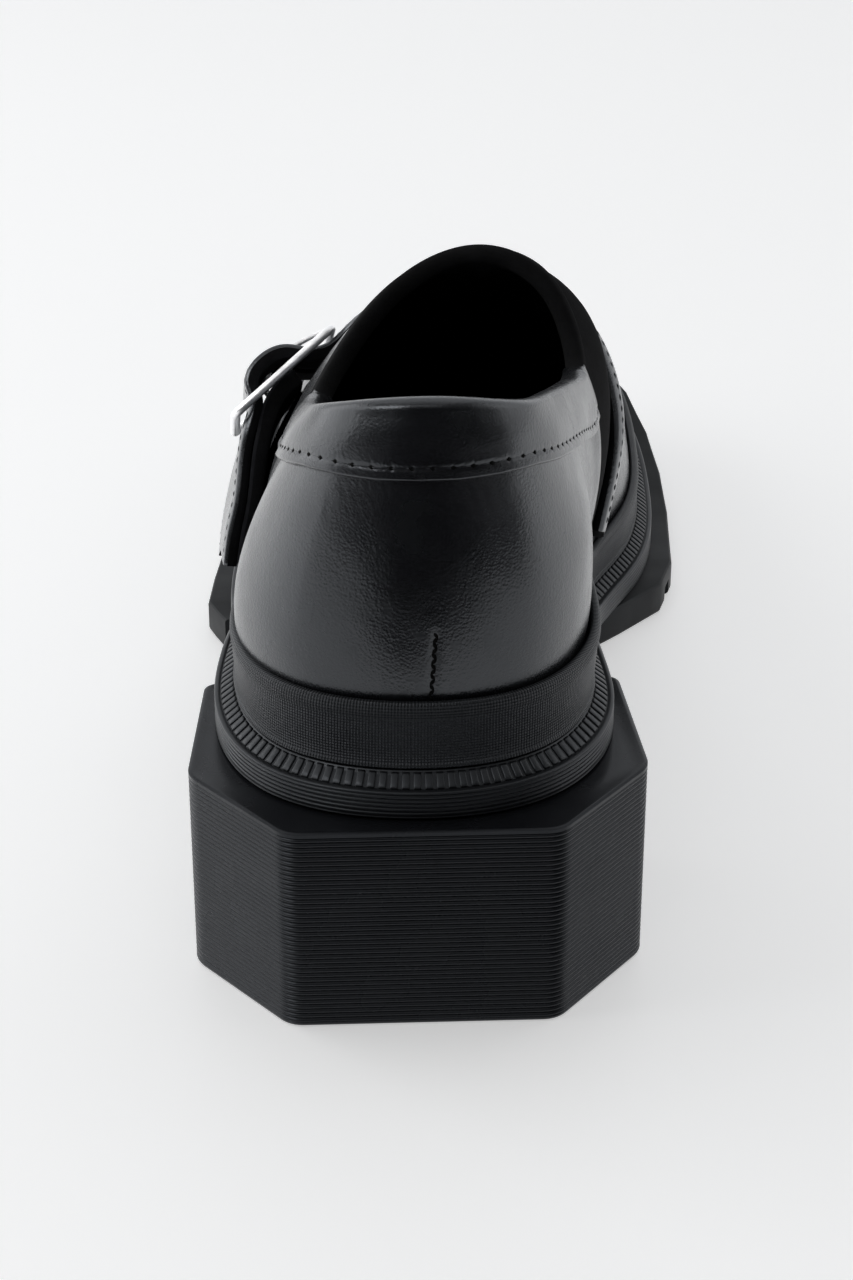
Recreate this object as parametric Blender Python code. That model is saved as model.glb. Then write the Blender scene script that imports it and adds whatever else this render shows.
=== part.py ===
"""Left buckle loafer: faceted heel and platform, grooved welt, rand, hollow upper, buckled strap."""

import math

import bpy
import numpy as np

# Sizes are in millimetres: x to the medial side, y from the heel to the toe, z up from the floor
MM = 0.001
PLAN_MIDDLE = (-0.1, 151.76)
GAP = 0.3
LOOP_STEPS = 3

# Heel block, turned a little outward from the shoe's long axis
HEEL_HEIGHT = 43.0
HEEL_TURN = math.radians(3.9)
HEEL_MIDDLE_X = -0.5
HEEL_CORNERS = (
    # half width, distance along the shoe, points in the rounding
    (25.8, -1.0, 3),
    (44.6, 22.0, 3),
    (42.3, 59.5, 2),
)
HEEL_CORNER = 3.0
HEEL_RIBS = 36
HEEL_RIB_DEPTH = 0.3
HEEL_RIM = 1.0
HEEL_RIM_BEVEL = 0.4
HEEL_FOOT_ROUND = 0.5

# Height line of the welt's underside along the shoe
HEEL_SEAT = 43.3
BALL_SEAT = 8.5
ARCH_START = 60.0
ARCH_END = 160.0
SPRING_START = 200.0
SPRING_END = 306.0
SPRING_RISE = 18.0

# Outsole
WAIST_THICK = 5.0
OUTSOLE_EDGE = 0.9
PLATFORM_BACK = 154.6
ARCH_STATIONS = 14
LUG_GROOVES = (184.0, 202.0, 220.0, 238.0, 256.0)
LUG_GROOVE_WIDTH = 5.0
LUG_GROOVE_DEPTH = 3.4
WALL_STEP = 0.1

# Outline of the outsole: distance along the shoe, lateral edge, medial edge
OUTSOLE_OUTLINE = (
    (63.0, -33.0, 25.0),
    (90.0, -33.5, 24.0),
    (120.0, -37.0, 22.5),
    (154.5, -47.0, 28.0),
    (154.6, -53.3, 34.0),
    (161.0, -56.5, 40.1),
    (165.5, -58.5, 44.0),
    (178.5, -58.4, 54.4),
    (192.0, -57.8, 57.8),
    (222.0, -56.2, 58.3),
    (243.0, -53.9, 57.4),
    (263.0, -51.0, 54.7),
    (282.0, -46.0, 49.8),
    (292.0, -40.5, 44.5),
    (306.0, -20.0, 24.0),
)

# Welt plate: reach beyond the upper's edge, grooved side, then the rim and the sloped band
WELT_REACH = 7.3
WELT_UNDERCUT = 1.0
WELT_FOOT_RISE = 0.45
WELT_GROOVES = 4
WELT_GROOVE_DEPTH = 0.45
WELT_GROOVE_PITCH = 1.18
WELT_TOP_RISE = 8.0
WELT_RIM = (
    # reach, rise
    (7.3, 5.25),
    (6.9, 5.6),
    (6.3, 5.7),
    (3.3, 7.8),
    (2.7, 8.0),
)

# Rand
RAND_HEEL_HEIGHT = 14.0
RAND_BALL_HEIGHT = 11.0
RAND_FOOT_THICK = 2.7
RAND_TOP_THICK = 1.7
RAND_PROFILE = (
    # part of the height, part of the way from the inner face to the outer one
    (0.0, 1.0),
    (0.35, 0.94),
    (0.75, 0.86),
    (0.90, 0.86),
    (0.98, 0.66),
    (1.0, 0.35),
    (0.97, 0.0),
    (0.5, 0.0),
    (0.0, 0.0),
)

# Upper, insole, collar
WALL = 2.2
UPPER_ROWS = 8
INSOLE_THICK = 3.0
INSOLE_INSET = 3.0
INSOLE_EDGE = 0.6
COLLAR_HEIGHT = 13.0
COLLAR_THICK = 1.3
COLLAR_FOOT_SHARE = 0.7
COLLAR_RISES = (0.08, 0.40, 0.75)
COLLAR_TURNS = (0.25, 0.50, 0.75)
COLLAR_ROLL = 1.7
COLLAR_INSIDE = 9.0
COLLAR_END = 4.0
NEAR_TOP = 0.97

# Lower edge of the upper, a row for each section: plan points of both sides, how far the wall leans out
# at its foot and in at its top in degrees, and how strongly it holds either direction
SECTIONS = (
    # lateral x, y, medial x, y, flare lateral, medial, lean lateral, medial, low pull, high pull
    (-3.0, 10.3, -3.0, 10.3, 10.0, 10.0, 14.0, 14.0, 0.35, 0.35),
    (-25.3, 17.2, 19.0, 18.0, 10.0, 10.0, 22.0, 18.0, 0.35, 0.35),
    (-35.3, 38.0, 28.4, 38.0, 13.0, 13.0, 34.0, 22.0, 0.35, 0.35),
    (-36.0, 66.0, 26.6, 66.0, 12.0, 18.0, 27.0, 17.0, 0.36, 0.33),
    (-35.8, 86.0, 26.5, 87.0, 13.0, 19.0, 36.0, 24.0, 0.39, 0.32),
    (-36.3, 97.0, 27.0, 99.0, 15.0, 20.0, 30.0, 50.0, 0.41, 0.33),
    (-37.6, 108.0, 27.4, 111.0, 15.0, 20.0, 38.0, 60.0, 0.42, 0.32),
    (-40.6, 128.0, 28.2, 131.0, 14.0, 20.0, 90.0, 90.0, 0.43, 0.36),
    (-44.0, 152.0, 31.2, 154.0, 14.0, 20.0, 90.0, 90.0, 0.42, 0.38),
    (-45.2, 180.0, 41.5, 181.0, 18.0, 18.0, 90.0, 90.0, 0.42, 0.36),
    (-42.5, 222.0, 46.0, 222.0, 20.0, 18.0, 90.0, 90.0, 0.40, 0.42),
    (-36.5, 262.0, 41.0, 262.0, 22.0, 22.0, 90.0, 90.0, 0.40, 0.45),
    (-22.0, 285.0, 28.5, 284.5, 24.0, 24.0, 90.0, 90.0, 0.42, 0.45),
    (3.5, 292.0, 3.5, 292.0, 25.0, 25.0, 90.0, 90.0, 0.45, 0.50),
)

# Top edge of the opening for the first sections, up to the tip of the tongue
OPENING = (
    # lateral x, y, z, medial x, y, z
    (-2.0, 13.0, 121.3, -2.0, 13.0, 121.3),
    (-14.5, 18.0, 118.6, 11.6, 18.0, 119.2),
    (-22.4, 38.0, 110.2, 21.0, 38.0, 112.6),
    (-24.6, 62.0, 101.2, 26.4, 62.0, 106.0),
    (-24.0, 77.0, 98.6, 28.8, 79.0, 104.0),
    (-10.9, 91.5, 114.4, 22.6, 90.0, 117.6),
    (10.4, 96.0, 122.8, 10.4, 96.0, 122.8),
)

# Ridge of the vamp from the tip of the tongue to the toe: x, y, z
RIDGE = (
    (10.4, 96.0, 122.8),
    (9.0, 117.0, 104.0),
    (6.5, 147.0, 85.0),
    (4.5, 183.0, 67.5),
    (3.0, 222.0, 57.0),
    (3.5, 250.0, 53.3),
    (3.5, 263.0, 51.5),
    (3.5, 268.0, 50.3),
)
TIP = len(OPENING) - 1
TOE = len(SECTIONS) - 1
LEAN_MOST = 90.0
CROSS_FROM, CROSS_FULL = 4.0, 6.0
TONGUE_FROM, TONGUE_FULL = 3.8, 5.2
ROUND_FROM, ROUND_FULL = 10.5, 13.0

# Straps: rear edge along the shoe at a reference height, how it slopes with height, width and thickness
STRAP_REFERENCE_Z = 98.0
STRAP_REAR_Y = 107.0
STRAP_SLOPE_LATERAL = 0.25
STRAP_SLOPE_MEDIAL = 0.10
STRAP_WIDTH = 28.0
STRAP_THICK = 2.8
STRAP_SHARES = (0.0, 0.42, 0.58, 1.0)
STRAP_STEP = 2.8
STRAP_SEARCH = (3.0, 9.5)

# Where the straps lie: level of the wall, lift of the band's middle above it
STRAP_MEDIAL = (
    (0.19, 2.2),
    (0.30, 2.8),
    (0.42, 4.0),
    (0.54, 3.8),
    (0.66, 3.0),
    (0.78, 2.5),
    (0.90, 2.3),
)
STRAP_LATERAL = ((1.0, 2.2), (0.90, 2.2), (0.80, 2.2))
TAIL = ((0.25, 5.6), (0.19, 6.3), (0.12, 7.4))
CHAPE = ((0.12, 4.3), (0.19, 3.0), (0.25, 2.3))

# Buckle: ends of the frame's rear bar, the direction across the strap, and bar sizes
BUCKLE_LOW = (-43.2, 101.1, 84.2)
BUCKLE_TOP = (-23.3, 112.3, 99.5)
BUCKLE_ACROSS = (-0.100, 0.860, -0.500)
BUCKLE_BAR = 2.2
BUCKLE_THICK = 1.9
BUCKLE_MIDDLE = 12.0
BUCKLE_SIDE_ROOM = 0.6
# Middle line of the strap through the buckle and of the chape below it: along the frame, above its plane
STRAP_LOOP = (
    (30.5, -2.7),
    (25.0, -2.7),
    (20.6, -0.4),
    (17.4, 3.3),
    (12.4, 5.0),
    (7.2, 3.3),
    (5.1, -0.4),
    (1.1, -3.2),
)
CHAPE_LOOP = ((2.0, -6.55), (4.4, -5.1), (7.0, -3.75), (10.6, -2.65), (15.5, -2.65))
PRONG_RADIUS = 0.7
PRONG_SIDES = 8
PRONG_PATH = ((9.8, -0.6), (9.8, 1.0), (10.5, 1.95), (28.9, 1.95))
PRONG_HOLE_LOW, PRONG_HOLE_HIGH = 13.6, 22.4

COLOURS = {
    "leather": ((0.010, 0.010, 0.011, 1.0), 0.38, 0.0),
    "strap_leather": ((0.012, 0.012, 0.013, 1.0), 0.45, 0.0),
    "rubber": ((0.014, 0.015, 0.016, 1.0), 0.55, 0.0),
    "lining": ((0.006, 0.006, 0.006, 1.0), 0.85, 0.0),
    "metal": ((0.75, 0.75, 0.76, 1.0), 0.22, 1.0),
}
UP = np.array([0.0, 0.0, 1.0])

# Fineness of the searches and of slopes taken between near points
HALVINGS = 40
NEAR = 0.01
FINE_STEPS = 40


def smooth_step(value, start, end):
    part = np.clip((value - start) / (end - start), 0.0, 1.0)
    return part * part * (3.0 - 2.0 * part)


def unit(vectors):
    return vectors / np.linalg.norm(vectors, axis=-1, keepdims=True)


def curve_through(rows, closed, measured=3):
    """Smooth cubic through the rows, spaced by the chords of the measured columns; it counts in rows."""
    points = np.asarray(rows, float)
    if closed:
        points = np.vstack([points, points[:1]])
    gaps = np.linalg.norm(np.diff(points[:, :measured], axis=0), axis=1)
    slopes = np.diff(points, axis=0) / gaps[:, None]
    count = len(gaps)
    system = np.zeros((count + 1, count + 1))
    right = np.zeros_like(points)
    for i in range(count + 1):
        if 0 < i < count or closed:
            before, after = (i - 1) % count, i % count
            system[i, before] += gaps[before]
            system[i, i % count] += 2.0 * (gaps[before] + gaps[after])
            system[i, (i + 1) % count if closed else i + 1] += gaps[after]
            right[i] = 6.0 * (slopes[after] - slopes[before])
        else:
            system[i, i] = 1.0
    if closed:
        system[count] = 0.0
        system[count, 0], system[count, count] = 1.0, -1.0
        right[count] = 0.0
    bends = np.linalg.solve(system, right)

    def at(position):
        position = np.asarray(position, float)
        if closed:
            position = position % count
        row = np.clip(np.floor(position).astype(int), 0, count - 1)
        part = (position - row)[..., None]
        rest = 1.0 - part
        pull = gaps[row][..., None] ** 2 / 6.0
        bend = (rest**3 - rest) * bends[row] + (part**3 - part) * bends[row + 1]
        return rest * points[row] + part * points[row + 1] + pull * bend

    return at


def both_sides(rows, lateral, medial):
    """Rows of a closed loop: out along the lateral side and back along the medial one."""
    out = [[row[i] for i in lateral] for row in rows]
    back = [[row[i] for i in medial] for row in rows[-2:0:-1]]
    return out + back


section_curve = curve_through(both_sides(SECTIONS, (0, 1, 4, 6, 8, 9), (2, 3, 5, 7, 8, 9)), True, measured=2)
opening_curve = curve_through(both_sides(OPENING, (0, 1, 2), (3, 4, 5)), True)
ridge_curve = curve_through(RIDGE, False)
TONGUE_RISE = unit(ridge_curve(0.0) - ridge_curve(0.5))


def seat(y):
    """Height of the welt's underside."""
    arch = HEEL_SEAT + (BALL_SEAT - HEEL_SEAT) * smooth_step(y, ARCH_START, ARCH_END)
    spring = np.clip((y - SPRING_START) / (SPRING_END - SPRING_START), 0.0, None)
    return arch + SPRING_RISE * spring**2


def section_of(loop):
    """Section count and side sign, -1 lateral and +1 medial, for a place on the loop round the shoe."""
    loop = np.asarray(loop, float) % (2 * TOE)
    lateral = loop <= TOE
    return np.where(lateral, loop, 2 * TOE - loop), np.where(lateral, -1.0, 1.0)


def edge(loop):
    """Point of the upper's lower edge and the outward level direction there."""
    loop = np.asarray(loop, float)
    plan = section_curve(loop)[..., :2]
    along = unit((section_curve(loop + NEAR) - section_curve(loop - NEAR))[..., :2])
    outward = np.stack([-along[..., 1], along[..., 0], np.zeros(along.shape[:-1])], -1)
    height = seat(plan[..., 1]) + WELT_TOP_RISE + GAP
    return np.concatenate([plan, height[..., None]], -1), outward


def top_edge(loop):
    """Point where the wall ends: the opening behind the tongue's tip, the ridge in front of it."""
    section, side = section_of(loop)
    opening_rows = np.where(side < 0, section, 2 * TIP - section)
    on_opening = opening_curve(np.where(section <= TIP, opening_rows, 0.0))
    on_ridge = ridge_curve(np.clip(section - TIP, 0.0, None))
    return np.where((section <= TIP)[..., None], on_opening, on_ridge)


def wall(loop, level):
    """Outer surface of the upper: level 0 at the lower edge, 1 at the opening or the ridge."""
    loop, level = np.broadcast_arrays(np.asarray(loop, float), np.asarray(level, float))
    section, side = section_of(loop)
    foot, outward = edge(loop)
    top = top_edge(loop)
    flare, lean, low_pull, high_pull = np.split(section_curve(loop)[..., 2:], 4, -1)
    flare = np.radians(flare)
    lean = np.radians(np.minimum(lean, LEAN_MOST))
    crossing = smooth_step(section, CROSS_FROM, CROSS_FULL)
    crossing = crossing * (1.0 - smooth_step(section, ROUND_FROM, ROUND_FULL))
    across = np.stack([-side, np.zeros_like(side), np.zeros_like(side)], -1)
    inward = unit(crossing[..., None] * across - (1.0 - crossing[..., None]) * outward)
    on_tongue = smooth_step(section, TONGUE_FROM, TONGUE_FULL)[..., None]
    rise = unit(on_tongue * TONGUE_RISE + (1.0 - on_tongue) * UP)
    span = np.linalg.norm(top - foot, axis=-1, keepdims=True)
    low = foot + low_pull * span * (np.sin(flare) * outward + np.cos(flare) * UP)
    high = top - high_pull * span * (np.sin(lean) * inward + np.cos(lean) * rise)
    part = level[..., None]
    rest = 1.0 - part
    return rest**3 * foot + 3.0 * rest**2 * part * low + 3.0 * rest * part**2 * high + part**3 * top


def wall_normal(loop, level):
    """Outward direction of the wall, taken just below the ridge for the ridge itself."""
    loop, level = np.broadcast_arrays(np.asarray(loop, float), np.asarray(level, float))
    level = np.minimum(level, 1.0 - 2.0 * NEAR)
    low, high = np.clip(level - NEAR, 0.0, 1.0), np.clip(level + NEAR, 0.0, 1.0)
    rise = wall(loop, high) - wall(loop, low)
    run = wall(loop + NEAR, level) - wall(loop - NEAR, level)
    return unit(np.cross(rise, run))


def level_where(loop, too_low):
    """Level of the wall found by halving; too_low says whether a point still lies below the wanted one."""
    low, high = np.zeros_like(loop), np.ones_like(loop)
    for _ in range(HALVINGS):
        middle = 0.5 * (low + high)
        below = too_low(wall(loop, middle))
        low, high = np.where(below, middle, low), np.where(below, high, middle)
    return 0.5 * (low + high)


def level_at_height(loop, height):
    """Level of the wall whose height above the floor is given."""
    return level_where(loop, lambda points: points[..., 2] < height)


def level_below_top(loop, depth):
    """Level of the wall that lies a given distance below its top edge."""
    top = top_edge(loop)
    return level_where(loop, lambda points: np.linalg.norm(points - top, axis=-1) > depth)


solids = []


def add_solid(name, points, faces, material):
    points = np.asarray(points, float)
    volume = 0.0
    for face in faces:
        corner = points[face[0]]
        for i in range(1, len(face) - 1):
            volume += np.dot(corner, np.cross(points[face[i]], points[face[i + 1]]))
    if volume < 0.0:
        faces = [tuple(reversed(face)) for face in faces]
    solids.append((name, points, faces, material))


def thicken(faces, outer, inner):
    """Closed solid between two sheets that share their faces; open edges get side walls."""
    count = len(outer)
    edges = {(face[i], face[(i + 1) % len(face)]) for face in faces for i in range(len(face))}
    closed = list(faces)
    closed += [tuple(i + count for i in reversed(face)) for face in faces]
    closed += [(b, a, a + count, b + count) for a, b in edges if (b, a) not in edges]
    return np.vstack([outer, inner]), closed


def grid_faces(rows, columns, wrap=False, keep=None):
    faces = []
    for i in range(rows if wrap else rows - 1):
        for j in range(columns - 1):
            if keep is None or keep[i][j]:
                below = ((i + 1) % rows) * columns + j
                faces.append((i * columns + j, below, below + 1, i * columns + j + 1))
    return faces


def ring_stack(rings, caps):
    """Solid from a stack of rings; caps is "flat" for single faces, "paired" for strips across."""
    rings = np.asarray(rings, float)
    layers, count = rings.shape[:2]
    faces = []
    for k in range(layers - 1):
        for j in range(count):
            after = (j + 1) % count
            faces.append((k * count + j, k * count + after, (k + 1) * count + after, (k + 1) * count + j))
    for base, flip in ((0, True), ((layers - 1) * count, False)):
        if caps == "flat":
            lids = [tuple(range(base, base + count))]
        else:
            lids = [(base, base + 1, base + count - 1)]
            end = base + count
            lids += [(base + j, base + j + 1, end - j - 1, end - j) for j in range(1, count // 2 - 1)]
            lids.append((base + count // 2 - 1, base + count // 2, base + count // 2 + 1))
        faces += [tuple(reversed(lid)) if flip else lid for lid in lids]
    return rings.reshape(-1, 3), faces


def loop_places():
    return np.arange(2 * TOE * LOOP_STEPS) / LOOP_STEPS


# Heel
def heel_outline():
    """Rounded outline of the heel block and its outward directions, both in plan."""
    corners = list(HEEL_CORNERS) + [(-x, y, steps) for x, y, steps in reversed(HEEL_CORNERS)]
    outline = []
    for i, (x, y, steps) in enumerate(corners):
        here = np.array([x, y])
        before = unit(np.array(corners[i - 1][:2]) - here)
        after = unit(np.array(corners[(i + 1) % len(corners)][:2]) - here)
        for k in range(steps):
            part = k / (steps - 1)
            start, end = here + HEEL_CORNER * before, here + HEEL_CORNER * after
            outline.append((1 - part) ** 2 * start + 2 * part * (1 - part) * here + part**2 * end)
    outline = np.array(outline)
    along = unit(np.roll(outline, -1, 0) - np.roll(outline, 1, 0))
    return outline, np.stack([along[:, 1], -along[:, 0]], -1)


def build_heel():
    outline, outward = heel_outline()
    pitch = (HEEL_HEIGHT - HEEL_RIM - HEEL_FOOT_ROUND) / HEEL_RIBS
    rows = [(HEEL_FOOT_ROUND, 0.0), (0.0, HEEL_FOOT_ROUND)]
    for rib in range(HEEL_RIBS):
        base = HEEL_FOOT_ROUND + rib * pitch
        rows += [(HEEL_RIB_DEPTH, base + 0.5 * pitch), (0.0, base + pitch)]
    rows += [(0.0, HEEL_HEIGHT - HEEL_RIM_BEVEL), (HEEL_RIM_BEVEL, HEEL_HEIGHT)]
    turn = np.array(
        [[math.cos(HEEL_TURN), math.sin(HEEL_TURN)], [-math.sin(HEEL_TURN), math.cos(HEEL_TURN)]]
    )
    rings = []
    for inset, height in rows:
        plan = (outline - inset * outward) @ turn + (HEEL_MIDDLE_X, 0.0)
        rings.append(np.column_stack([plan, np.full(len(plan), height)]))
    add_solid("heel", *ring_stack(rings, "flat"), "rubber")


# Outsole
def build_outsole():
    table = np.asarray(OUTSOLE_OUTLINE)
    stations = list(table[:, 0])
    stations += list(np.linspace(table[0, 0], PLATFORM_BACK, ARCH_STATIONS + 2)[1:-1])
    for groove in LUG_GROOVES:
        for wall_y in (groove, groove + LUG_GROOVE_WIDTH):
            stations += [wall_y - 0.5 * WALL_STEP, wall_y + 0.5 * WALL_STEP]
    rings = []
    for y in sorted(stations):
        in_groove = any(groove < y < groove + LUG_GROOVE_WIDTH for groove in LUG_GROOVES)
        cut = LUG_GROOVE_DEPTH if in_groove else 0.0
        lateral = np.interp(y, table[:, 0], table[:, 1])
        medial = np.interp(y, table[:, 0], table[:, 2])
        top = float(seat(y)) - GAP
        bottom = top - WAIST_THICK if y < PLATFORM_BACK else top - (BALL_SEAT - GAP) + cut
        if PLATFORM_BACK <= y < SPRING_START:
            bottom = cut
        b = OUTSOLE_EDGE
        ring = [
            (lateral + b, bottom),
            (medial - b, bottom),
            (medial, bottom + b),
            (medial, top - b),
            (medial - b, top),
            (lateral + b, top),
            (lateral, top - b),
            (lateral, bottom + b),
        ]
        rings.append([(x, y, z) for x, z in ring])
    add_solid("outsole", *ring_stack(rings, "flat"), "rubber")


# Welt plate, insole and rand
def welt_line(loop, reach, rise):
    """Line round the welt at a reach beyond the upper's edge; its foot follows the seat, its top the edge."""
    foot, outward = edge(loop)
    line = foot + reach * outward
    share = rise / WELT_TOP_RISE
    line[:, 2] = rise + (1.0 - share) * seat(line[:, 1]) + share * seat(foot[:, 1])
    return line


def build_midsole():
    rows = [(WELT_REACH - WELT_UNDERCUT, 0.0)]
    for groove in range(WELT_GROOVES):
        height = WELT_FOOT_RISE + groove * WELT_GROOVE_PITCH
        rows += [(WELT_REACH, height), (WELT_REACH - WELT_GROOVE_DEPTH, height + 0.5 * WELT_GROOVE_PITCH)]
    rings = [welt_line(loop_places(), reach, rise) for reach, rise in rows + list(WELT_RIM)]
    add_solid("midsole", *ring_stack(rings, "paired"), "rubber")


def build_insole():
    foot, outward = edge(loop_places())
    rows = [(0.0, 0.0), (0.0, INSOLE_THICK - INSOLE_EDGE), (INSOLE_EDGE, INSOLE_THICK)]
    rings = [foot - (INSOLE_INSET + inset) * outward + rise * UP for inset, rise in rows]
    add_solid("insole", *ring_stack(rings, "paired"), "lining")


def rand_height(y):
    return RAND_HEEL_HEIGHT + (RAND_BALL_HEIGHT - RAND_HEEL_HEIGHT) * smooth_step(y, ARCH_START, ARCH_END)


def build_rand():
    places = loop_places()
    foot, outward = edge(places)
    tall = rand_height(foot[:, 1])
    rings = []
    for part, depth in RAND_PROFILE:
        level = level_at_height(places, foot[:, 2] + part * tall)
        thick = RAND_FOOT_THICK + part * (RAND_TOP_THICK - RAND_FOOT_THICK)
        rings.append(wall(places, level) + (GAP + depth * thick) * outward)
    rings = np.asarray(rings)
    layers, count = rings.shape[:2]
    faces = []
    for k in range(layers):
        for j in range(count):
            below, after = (k + 1) % layers, (j + 1) % count
            faces.append((k * count + j, k * count + after, below * count + after, below * count + j))
    add_solid("rand", rings.reshape(-1, 3), faces, "rubber")


# Upper and collar
def build_upper():
    places = loop_places()
    levels = np.linspace(0.0, 1.0, UPPER_ROWS)
    loop, level = np.meshgrid(places, levels, indexing="ij")
    outer = wall(loop, level).reshape(-1, 3)
    normals = wall_normal(loop, level).reshape(-1, 3)
    section, side = section_of(places)
    count = len(places)
    shared = np.arange(count * UPPER_ROWS)
    for i in range(count):
        if side[i] > 0 and section[i] >= TIP:
            own, twin = (i + 1) * UPPER_ROWS - 1, (count - i + 1) * UPPER_ROWS - 1
            shared[own] = twin
            normals[twin] = unit(normals[twin] + normals[own])
    used = np.unique(shared)
    renumber = np.zeros(count * UPPER_ROWS, int)
    renumber[used] = np.arange(len(used))
    faces = grid_faces(count, UPPER_ROWS, wrap=True)
    faces = [tuple(int(renumber[shared[i]]) for i in face) for face in faces]
    add_solid("upper", *thicken(faces, outer[used], outer[used] - WALL * normals[used]), "leather")


def build_collar():
    ends = COLLAR_END * LOOP_STEPS
    places = np.arange(-ends, ends + 1) / LOOP_STEPS
    low = level_below_top(places, COLLAR_HEIGHT)
    inside = level_below_top(places, COLLAR_INSIDE)
    top = top_edge(places)
    top_normal = wall_normal(places, 1.0)
    up_wall = unit(top - wall(places, NEAR_TOP))

    def on_wall(level, offset):
        return wall(places, level) + offset * wall_normal(places, level)

    skin = GAP + COLLAR_THICK
    back = WALL + GAP
    rings = [on_wall(low, GAP), on_wall(low, GAP + COLLAR_FOOT_SHARE * COLLAR_THICK)]
    rings += [on_wall(low + (1.0 - low) * part, skin) for part in COLLAR_RISES]
    rings.append(top + skin * top_normal)
    for part in COLLAR_TURNS:
        angle = math.pi * part
        reach = 0.5 * (skin - GAP + back + skin) * math.cos(angle) + 0.5 * (skin - back - COLLAR_THICK)
        rings.append(top + reach * top_normal + (GAP + COLLAR_ROLL * math.sin(angle)) * up_wall)
    rings.append(top - (back + COLLAR_THICK) * top_normal)
    rings += [on_wall(inside, -back - COLLAR_THICK), on_wall(inside, -back)]
    rings.append(top - back * top_normal + GAP * up_wall)
    rings.append(top + GAP * top_normal + GAP * up_wall)
    rings.append(on_wall(0.5 * (1.0 + low), GAP))
    sections = np.transpose(np.asarray(rings), (1, 0, 2))
    add_solid("collar", *ring_stack(sections, "flat"), "leather")


# Straps and buckle
def strap_places(side, level, share):
    """Place on the loop where a strap line crosses a level of one side's wall."""
    slope = STRAP_SLOPE_LATERAL if side < 0 else STRAP_SLOPE_MEDIAL

    def loop_of(section):
        return section if side < 0 else 2 * TOE - section

    low, high = STRAP_SEARCH
    for _ in range(HALVINGS):
        middle = 0.5 * (low + high)
        point = wall(loop_of(middle), level)
        target = STRAP_REAR_Y + slope * (point[2] - STRAP_REFERENCE_Z) + share * STRAP_WIDTH
        low, high = (middle, high) if point[1] < target else (low, middle)
    return loop_of(0.5 * (low + high))


def strap_point(side, level, share, lift):
    place = strap_places(side, level, share)
    return wall(place, level) + lift * wall_normal(place, level)


def buckle_frame():
    """Low end of the frame's middle line, and directions along the strap, across it and off the shoe."""
    low, top = np.array(BUCKLE_LOW), np.array(BUCKLE_TOP)
    along = unit(top - low)
    across = np.array(BUCKLE_ACROSS)
    across = unit(across - np.dot(across, along) * along)
    off = np.cross(along, across)
    side = 0.5 * (STRAP_WIDTH + BUCKLE_BAR) + BUCKLE_SIDE_ROOM
    return low + side * across, along, across, off


def in_frame(frame, position, across, height):
    origin, along_axis, across_axis, off_axis = frame
    return origin + position * along_axis + across * across_axis + height * off_axis


def strip(rows_by_share, thick, step, hole=None):
    """Solid band through rows of points, one list of rows for each share of its width."""
    curves = [curve_through(rows, False) for rows in rows_by_share]
    rows = len(rows_by_share[0])
    fine = np.linspace(0.0, rows - 1.0, FINE_STEPS * rows)
    middle = curves[len(curves) // 2]
    run = np.concatenate([[0.0], np.cumsum(np.linalg.norm(np.diff(middle(fine), axis=0), axis=1))])
    count = int(round(run[-1] / step)) + 1
    places = np.interp(np.linspace(0.0, run[-1], count), run, fine)
    sheet = np.stack([curve(places) for curve in curves], 1)
    along = np.gradient(sheet, axis=0)
    across = np.gradient(sheet, axis=1)
    normals = unit(np.cross(along, across))
    keep = np.ones((count - 1, len(curves) - 1), bool)
    if hole is not None:
        first, last = hole
        keep[(places[:-1] >= first) & (places[1:] <= last), len(curves) // 2 - 1] = False
    faces = grid_faces(count, len(curves), keep=keep)
    used = sorted({i for face in faces for i in face})
    renumber = {old: new for new, old in enumerate(used)}
    faces = [tuple(renumber[i] for i in face) for face in faces]
    outer = (sheet + 0.5 * thick * normals).reshape(-1, 3)[used]
    inner = (sheet - 0.5 * thick * normals).reshape(-1, 3)[used]
    return thicken(faces, outer, inner)


def build_straps():
    frame = buckle_frame()
    strap_rows, chape_rows = [], []
    for share in STRAP_SHARES:
        across = (share - 0.5) * STRAP_WIDTH
        rows = [strap_point(1, level, share, lift) for level, lift in STRAP_MEDIAL]
        rows += [strap_point(-1, level, share, lift) for level, lift in STRAP_LATERAL]
        rows += [in_frame(frame, position, across, height) for position, height in STRAP_LOOP]
        rows += [strap_point(-1, level, share, lift) for level, lift in TAIL]
        strap_rows.append(rows)
        rows = [strap_point(-1, level, share, lift) for level, lift in CHAPE]
        rows += [in_frame(frame, position, across, height) for position, height in CHAPE_LOOP]
        chape_rows.append(rows)
    loop_start = len(STRAP_MEDIAL) + len(STRAP_LATERAL)
    positions = [position for position, _ in STRAP_LOOP]
    spots = loop_start + np.arange(len(positions))
    limits = np.array([PRONG_HOLE_HIGH, PRONG_HOLE_LOW])
    hole = np.interp(-limits, [-position for position in positions], spots)
    add_solid("strap", *strip(strap_rows, STRAP_THICK, STRAP_STEP, hole), "strap_leather")
    add_solid("chape", *strip(chape_rows, STRAP_THICK, STRAP_STEP), "strap_leather")
    build_buckle(frame)


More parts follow.
